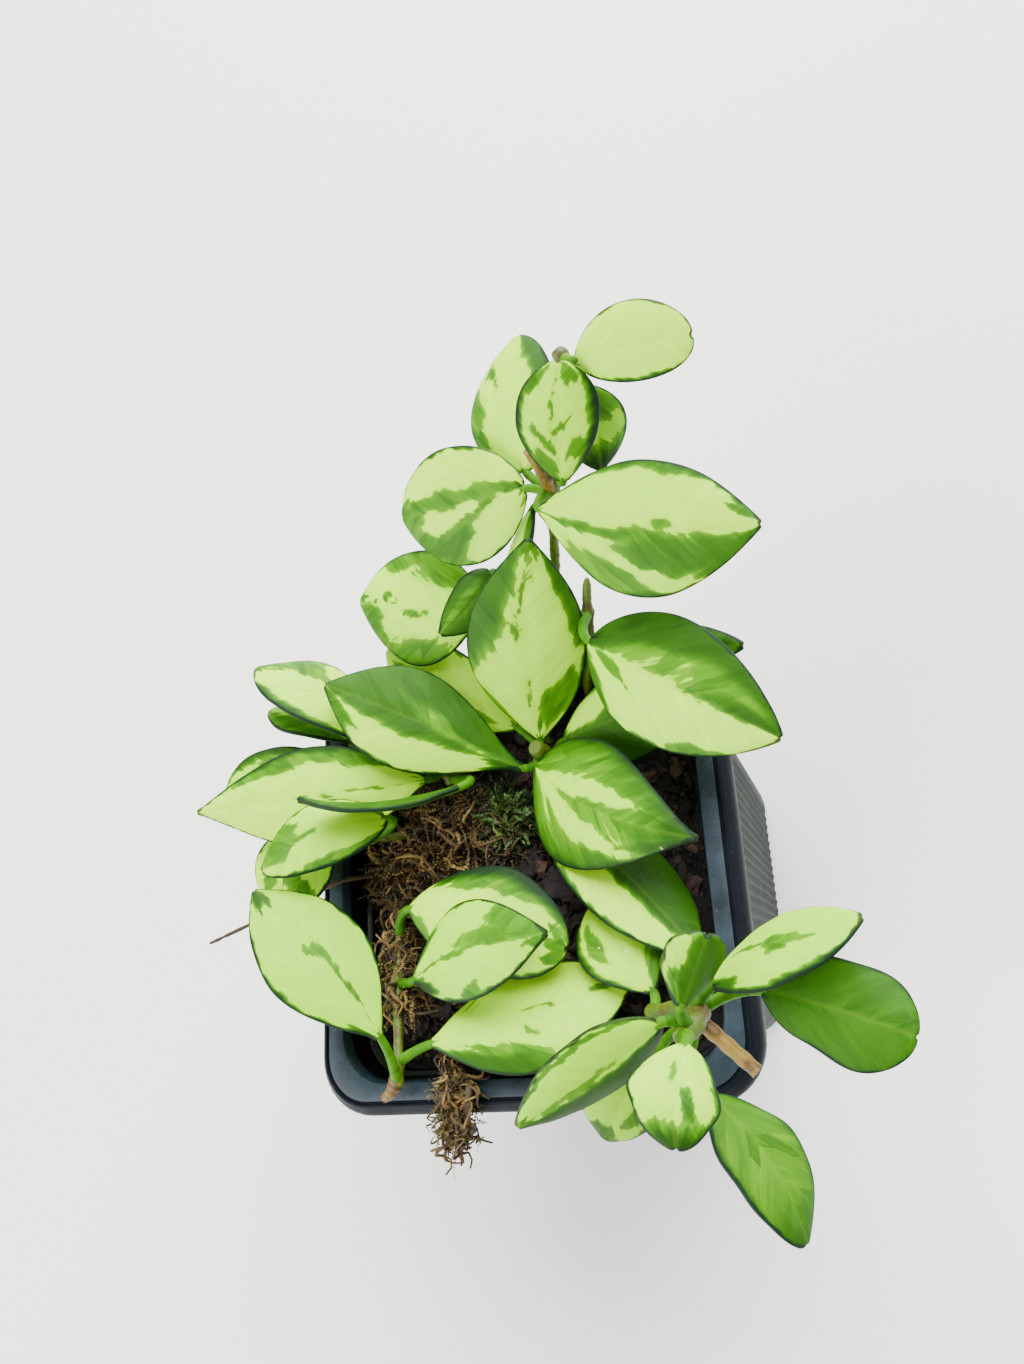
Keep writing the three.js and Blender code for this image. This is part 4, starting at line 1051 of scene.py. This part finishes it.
def stone(seed, fineness, size):
    """An angular lump, from a ball with its points shaken."""
    bpy.ops.mesh.primitive_ico_sphere_add(subdivisions=fineness, radius=0.5 * MM)
    rng = np.random.default_rng(seed)
    points, faces = template(active())
    points *= 1 + STONE_SHAKE * rng.standard_normal((len(points), 1)).clip(-1.4, 1.4)
    return points * np.array(size), faces


def inside_pot(x, y, half=32.2, corner=8):
    dx, dy = max(abs(x) - half + corner, 0), max(abs(y) - half + corner, 0)
    return math.hypot(dx, dy) < corner


def on_soil(x, y, above):
    return np.array((x, y, float(soil_height(x, y)) + above))


def dark_crumbs(rng, lumps, grit):
    """Crumbs strewn over the mix, some of them large."""
    copies = []
    while len(copies) < DARK_CRUMBS:
        x, y = rng.uniform(-SOIL_HALF, SOIL_HALF), rng.uniform(-SOIL_HALF, SOIL_HALF)
        if not inside_pot(x, y):
            continue
        large = rng.random() < LARGE_SHARE
        size = rng.uniform(*(LARGE_CRUMB if large else SMALL_CRUMB))
        if not inside_pot(x, y, 32.3 - size * 0.5):
            continue
        shape, faces = rng.choice(lumps if large else grit)
        turn = rotation(rng, 0.8 if large else 3)
        copies.append(((shape * size, faces), turn, on_soil(x, y, size * 0.1), rng.uniform(0.1, 0.85)))
    return copies


def bark_pieces(rng, lumps):
    """Larger reddish pieces that lie nearly flat."""
    copies = []
    while len(copies) < RED_PIECES:
        x, y = rng.uniform(-BARK_HALF, BARK_HALF), rng.uniform(-BARK_HALF, BARK_HALF)
        if not inside_pot(x, y, BARK_HALF):
            continue
        size = rng.uniform(*BARK_PIECE)
        shape, faces = rng.choice(lumps)
        turn = rotation(rng, 0.5)
        copies.append(((shape * size, faces), turn, on_soil(x, y, 0.4), rng.uniform(0.2, 0.9)))
    return copies


def crumbs():
    rng = random.Random(41)
    lumps = [stone(k, 2, (1, 0.75, 0.5)) for k in range(6)]
    lumps += [stone(9 + k, 2, (1.3, 0.5, 0.4)) for k in range(3)]
    grit = [stone(20 + k, 1, (1, 0.8, 0.7)) for k in range(5)]
    dark, red = dark_crumbs(rng, lumps, grit), bark_pieces(rng, lumps)
    dark_skin = grain("dark_bark_crumb", SOIL_SHADES, 0.85, 900.0, 0.8)
    settle(scatter("bark_mix_crumbs", dark, dark_skin, False), "bark_soil")
    red_skin = grain("red_bark_crumb", BARK_SHADES, 0.7, 600.0, 0.8)
    settle(scatter("bark_mix_pieces", red, red_skin, False), "bark")


def chip(name, skins):
    """A broken flake: a bevelled block with its faces waved and its sides made uneven."""
    spot, size, turn, slot = CHIPS[name]
    bpy.ops.mesh.primitive_cube_add(size=MM)
    piece = active()
    piece.name = f"loose_{name}"
    bpy.ops.object.mode_set(mode="EDIT")
    bpy.ops.mesh.select_all(action="SELECT")
    bpy.ops.transform.resize(value=size, center_override=(0, 0, 0))
    bpy.ops.mesh.bevel(offset=0.5 * MM, segments=2)
    bpy.ops.mesh.subdivide(number_cuts=4)
    bpy.ops.object.mode_set(mode="OBJECT")
    points = read_points(piece) / MM
    wave = np.sin(points[:, 1] * 3.1 + 0.8 * points[:, 0]) + np.sin(points[:, 0] * 1.9 + 1)
    points[:, 2] += 0.16 * wave
    points[:, 0] *= 1 + 0.09 * np.sin(points[:, 1] * 2.3 + 2)
    points[:, 1] *= 1 + 0.1 * np.sin(points[:, 0] * 1.4)
    points = points @ np.array(Matrix.Rotation(math.radians(turn), 3, "Z")).T
    place(piece, points + spot)
    piece.data.materials.append(skins[slot])
    pick(piece)
    bpy.ops.object.shade_smooth_by_angle(angle=math.radians(40))
    settle(piece, slot, name)


# Moss

def strand(seed, bends, thick):
    """A thin curling moss stem one millimetre long, four sided, to be copied at its size."""
    rng = np.random.default_rng(seed)
    t = np.linspace(0, 1, 8)
    a, b = rng.uniform(0, 6, 2)
    x = 0.22 * (np.sin(bends * t + a) - math.sin(a))
    y = 0.22 * (np.sin(bends * 0.8 * t + b) - math.sin(b))
    return template(tube("strand", np.stack([x, y, t], 1), thick * (1 - 0.55 * t), 0))


def frond(seed, curl, spread):
    """A leafy moss shoot one millimetre long: a bent stem with short pointed leaves down both sides."""
    rng = np.random.default_rng(seed)
    points, faces = [], []
    first, second = rng.uniform(2, 6, 2)
    for k in range(13):
        t = k / 12
        spot = np.array((curl * math.sin(first * t), curl * (1 - math.cos(second * t)), t))
        for side in (-1, 1):
            out = np.array((side, rng.uniform(-0.7, 0.7), rng.uniform(0.5, 1.3)))
            start = len(points)
            points += [spot, spot + np.array((0.02, 0, 0.1)), spot + out * spread * (1.1 - 0.7 * t),
                       spot + out * 0.5 * spread + (0, 0.035, 0)]
            faces += [(start, start + 3, start + 2), (start, start + 2, start + 1)]
    return np.array(points), faces


def dome(name, centre, spread, top, shapes, count, sizes, skin, seed, flat=0.0):
    """Strands standing and lying over a mound, none reaching out to the pot's wall."""
    rng = random.Random(seed)
    ground = SOIL_Z - 0.5
    copies = []
    for _ in range(count):
        r, angle = math.sqrt(rng.random()), rng.uniform(0, 2 * math.pi)
        x, y = centre[0] + spread[0] * r * math.cos(angle), centre[1] + spread[1] * r * math.sin(angle)
        ceiling = ground + (top - ground) * math.sqrt(max(0.05, 1 - 0.85 * r * r))
        z = ground + (ceiling - ground) * rng.uniform(0.35, 0.86)
        size = rng.uniform(*sizes)
        out = (math.cos(angle) * r + rng.gauss(0, 0.8), math.sin(angle) * r + rng.gauss(0, 0.8),
               abs(rng.gauss(0.5, 0.4)) * (1 - flat))
        shape, faces = rng.choice(shapes)
        ahead = np.array((x, y)) + unit(out)[:2] * size
        if not inside_pot(*ahead, STRAND_LIMIT):
            continue
        turn = aim(out, rng)
        # Strands low in the mound are darker and high ones lighter: painted shade deep in the moss
        height = (z - ground) / (top - ground)
        tone = 0.15 + 0.55 * height + rng.gauss(0, 0.16)
        copies.append(((shape * size, faces), turn, np.array((x, y, z)), min(0.95, max(0.05, tone))))
    return scatter(name, copies, skin)


def core(name, centre, spread, top, skin):
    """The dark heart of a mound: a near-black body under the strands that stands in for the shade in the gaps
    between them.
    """
    bpy.ops.mesh.primitive_uv_sphere_add(segments=32, ring_count=16, radius=1)
    piece = active()
    piece.name = name
    points = read_points(piece)
    x, y, z = points.T
    wobble = 1 + 0.09 * np.sin(5 * x + 2) * np.sin(6 * y) + 0.06 * np.sin(9 * z)
    points = points * wobble[:, None] * (spread[0], spread[1], top - SOIL_Z)
    points[:, 2] = points[:, 2].clip(-2, None)
    place(piece, points + (centre[0], centre[1], SOIL_Z))
    piece.data.materials.append(skin)
    pick(piece)
    bpy.ops.object.shade_smooth()
    return piece


def along_path(name, path, reach, shapes, count, sizes, skin, seed, hang=0.4):
    """Strands wound along a path, most of them lying along it."""
    rng = random.Random(seed)
    points, _ = smooth_path(path, 60)
    copies = []
    for _ in range(count):
        k = rng.randrange(0, 57)
        onward = unit(points[k + 2] - points[k])
        away = np.array([rng.gauss(0, 1) for _ in range(3)])
        away -= onward * away.dot(onward)
        away = unit(away)
        spot = points[k] + away * reach * rng.uniform(0.2, 0.8)
        way = onward * rng.choice((-1, 1, 1)) * rng.uniform(0.3, 1.2) + away * rng.uniform(-0.2, 0.8)
        way = way - np.array((0, 0, hang * rng.random()))
        shape, faces = rng.choice(shapes)
        size = rng.uniform(*sizes)
        copies.append(((shape * size, faces), aim(way, rng), spot, rng.uniform(0.1, 0.9)))
    return scatter(name, copies, skin)


def wisps(shapes, skin):
    """Single strands lying loose on the mix."""
    rng = random.Random(77)
    copies = []
    while len(copies) < LOOSE_WISPS:
        x, y = rng.uniform(-32, 12), rng.uniform(-33, 16)
        size = rng.uniform(2.5, 5.5)
        way = unit((rng.gauss(0, 1), rng.gauss(0, 1), abs(rng.gauss(0, 0.3))))
        if inside_pot(x, y, 31.5) and inside_pot(*(np.array((x, y)) + way[:2] * size), 32.2):
            shape, faces = rng.choice(shapes)
            copies.append(((shape * size, faces), aim(way, rng), on_soil(x, y, 0.7), rng.uniform(0.1, 0.7)))
    settle(scatter("loose_moss_wisps", copies, skin), "dry_moss")


def moss_mat(dry, shade_fill, shapes):
    parts = [core("moss_mat_heart", (-19, 6), (13, 9.5), 77, shade_fill),
             dome("moss_mat_strands", (-19, 5.5), (14.5, 11.5), 79.5, shapes, count=1900, sizes=(2.5, 7),
                  skin=dry, seed=3, flat=0.2)]
    settle(joined("dry_moss_mat", parts), "dry_moss", "moss_brown_mat")


def moss_tuft(green, dry, shade_fill, feathers, leafy):
    parts = [core("moss_tuft_heart", (-4.5, 10), (4, 4.5), 76, shade_fill),
             dome("moss_tuft_fronds", (-4.5, 10), (5, 5.5), 78, feathers, count=380, sizes=(2.5, 4.5),
                  skin=green, seed=5),
             dome("moss_tuft_dry", (-3.5, 8), (6, 6), 76, leafy, count=160, sizes=(2.5, 5), skin=dry, seed=6)]
    settle(joined("live_moss_tuft", parts), "green_moss", "moss_green_tuft")


def moss_round_stem(dry, half_dry, shapes, leafy):
    parts = [along_path("sleeve_dry", SLEEVE, 2.7, shapes, count=480, sizes=(2.5, 5.5), skin=dry, seed=7,
                        hang=0.8),
             along_path("sleeve_green", SLEEVE, 2.2, leafy, count=160, sizes=(2, 4), skin=half_dry, seed=8)]
    settle(joined("moss_round_stem", parts), "dry_moss", "moss_on_stem")


def moss_over_rim(dry, half_dry, shapes, feathers):
    parts = [along_path("over_rim_dry", OVER_RIM, 2.6, shapes, count=260, sizes=(2.5, 5.5), skin=dry, seed=9,
                        hang=0.9),
             along_path("over_rim_green", OVER_RIM[:4], 2.8, feathers, count=130, sizes=(2.5, 4.5),
                        skin=half_dry, seed=10, hang=0.6)]
    settle(joined("moss_hanging_over_rim", parts), "dry_moss", "moss_over_rim")


def moss():
    dry = grain("dry_sphagnum", ["#140c05", "#2c1f0c", "#4e3a16", "#6e5622", "#94783a"],
                0.75, 500.0, 0.3, 0.2)
    # Near-black fill for the hearts of the mounds: painted shade between the strands
    shade_fill = grain("dark_moss_fill_painted_shade", ["#060402", "#110a05", "#24170a"], 0.95, 800.0, 1.0)
    green = grain("live_moss", ["#10200a", "#26440c", "#446412", "#6c8428"], 0.6, 700.0, 0.3, 0.25)
    half_dry = grain("half_dry_moss", ["#171005", "#33260c", "#4d4a14", "#5f5e1e", "#7a6026"],
                     0.7, 400.0, 0.3, 0.2)
    curls = [strand(k, bends, 0.075) for k, bends in enumerate((3, 4.5, 6, 7.5, 5, 9))]
    leafy = [frond(k, 0.2, 0.1) for k in range(6)]
    feathers = [frond(20 + k, 0.1, 0.17) for k in range(5)]
    moss_mat(dry, shade_fill, curls + leafy * 2)
    moss_tuft(green, dry, shade_fill, feathers, leafy)
    moss_round_stem(dry, half_dry, curls + leafy * 2, leafy)
    moss_over_rim(dry, half_dry, curls + leafy, feathers)
    wisps(leafy + curls, dry)


# Loose twigs

def twig(name, skin):
    radius, path = TWIGS[name]
    points, _ = smooth_path(path, 40)
    rng = np.random.default_rng(3)
    radii = radius * (1 + 0.12 * rng.standard_normal(40)) * np.linspace(1, 0.75, 40)
    piece = tube(f"loose_{name}", points, radii, 3)
    dress(piece, skin)
    store(piece.data, "tone", "FLOAT", np.full(len(piece.data.vertices), 0.5))
    settle(piece, name, name)


# Floor and light

def studio():
    bpy.ops.mesh.primitive_plane_add(size=3, location=(0, 0, 0))
    floor = active()
    floor.name = "pale_floor"
    material, _, shader = new_material("pale_floor_paper")
    feed(shader, {"Base Color": linear("#f0efeb"), "Roughness": 0.8})
    floor.data.materials.append(material)
    world = bpy.data.worlds.new("soft_room")
    world.use_nodes = True
    feed(world.node_tree.nodes["Background"], {0: linear("#e8eef2"), 1: ROOM_LIGHT})
    bpy.context.scene.world = world
    for name, (spot, size, power) in LAMPS.items():
        data = bpy.data.lights.new(name, "AREA")
        data.size = size
        data.energy = power
        lamp = bpy.data.objects.new(name, data)
        bpy.context.collection.objects.link(lamp)
        lamp.location = spot
        lamp.rotation_euler = (Vector((0, 0, 0.09)) - Vector(spot)).to_track_quat("-Z", "Y").to_euler()


def main():
    studio()
    pot()
    substrate()
    crumbs()
    chip_skins = {"bark": grain("broken_bark", BARK_SHADES, 0.7, 450.0, 0.8),
                  "grey_chip": grain("grey_stone_chip", ["#2c2a26", "#4a4740", "#6b675c"], 0.8, 500.0, 0.5)}
    for name in CHIPS:
        chip(name, chip_skins)
    moss()
    wood = grain("weathered_wood", ["#241c10", "#403622", "#5c5038", "#746848"], 0.75, 500.0, 0.7)
    root = grain("dry_root_skin", ["#1e1206", "#3a260e", "#54401f"], 0.8, 600.0, 0.5)
    twig("wood_sliver", wood)
    twig("dry_root", root)
    bark = stem_skin("hoya_stem_bark", "#4c6200", "#4a3c00", 0.33)
    cork = stem_skin("hoya_spur_cork", "#806400", "#583c00", 0.4)
    for name in STEMS:
        if name not in sum(ARMS.values(), []):
            stem(name, bark)
    for name in SPURS:
        spur(name, cork)
    skins = (leaf_skin("hoya_leaf_upper_skin", False), leaf_skin("hoya_leaf_under_skin", True))
    for number, name in enumerate(LEAVES):
        leaf(name, number, skins)


main()
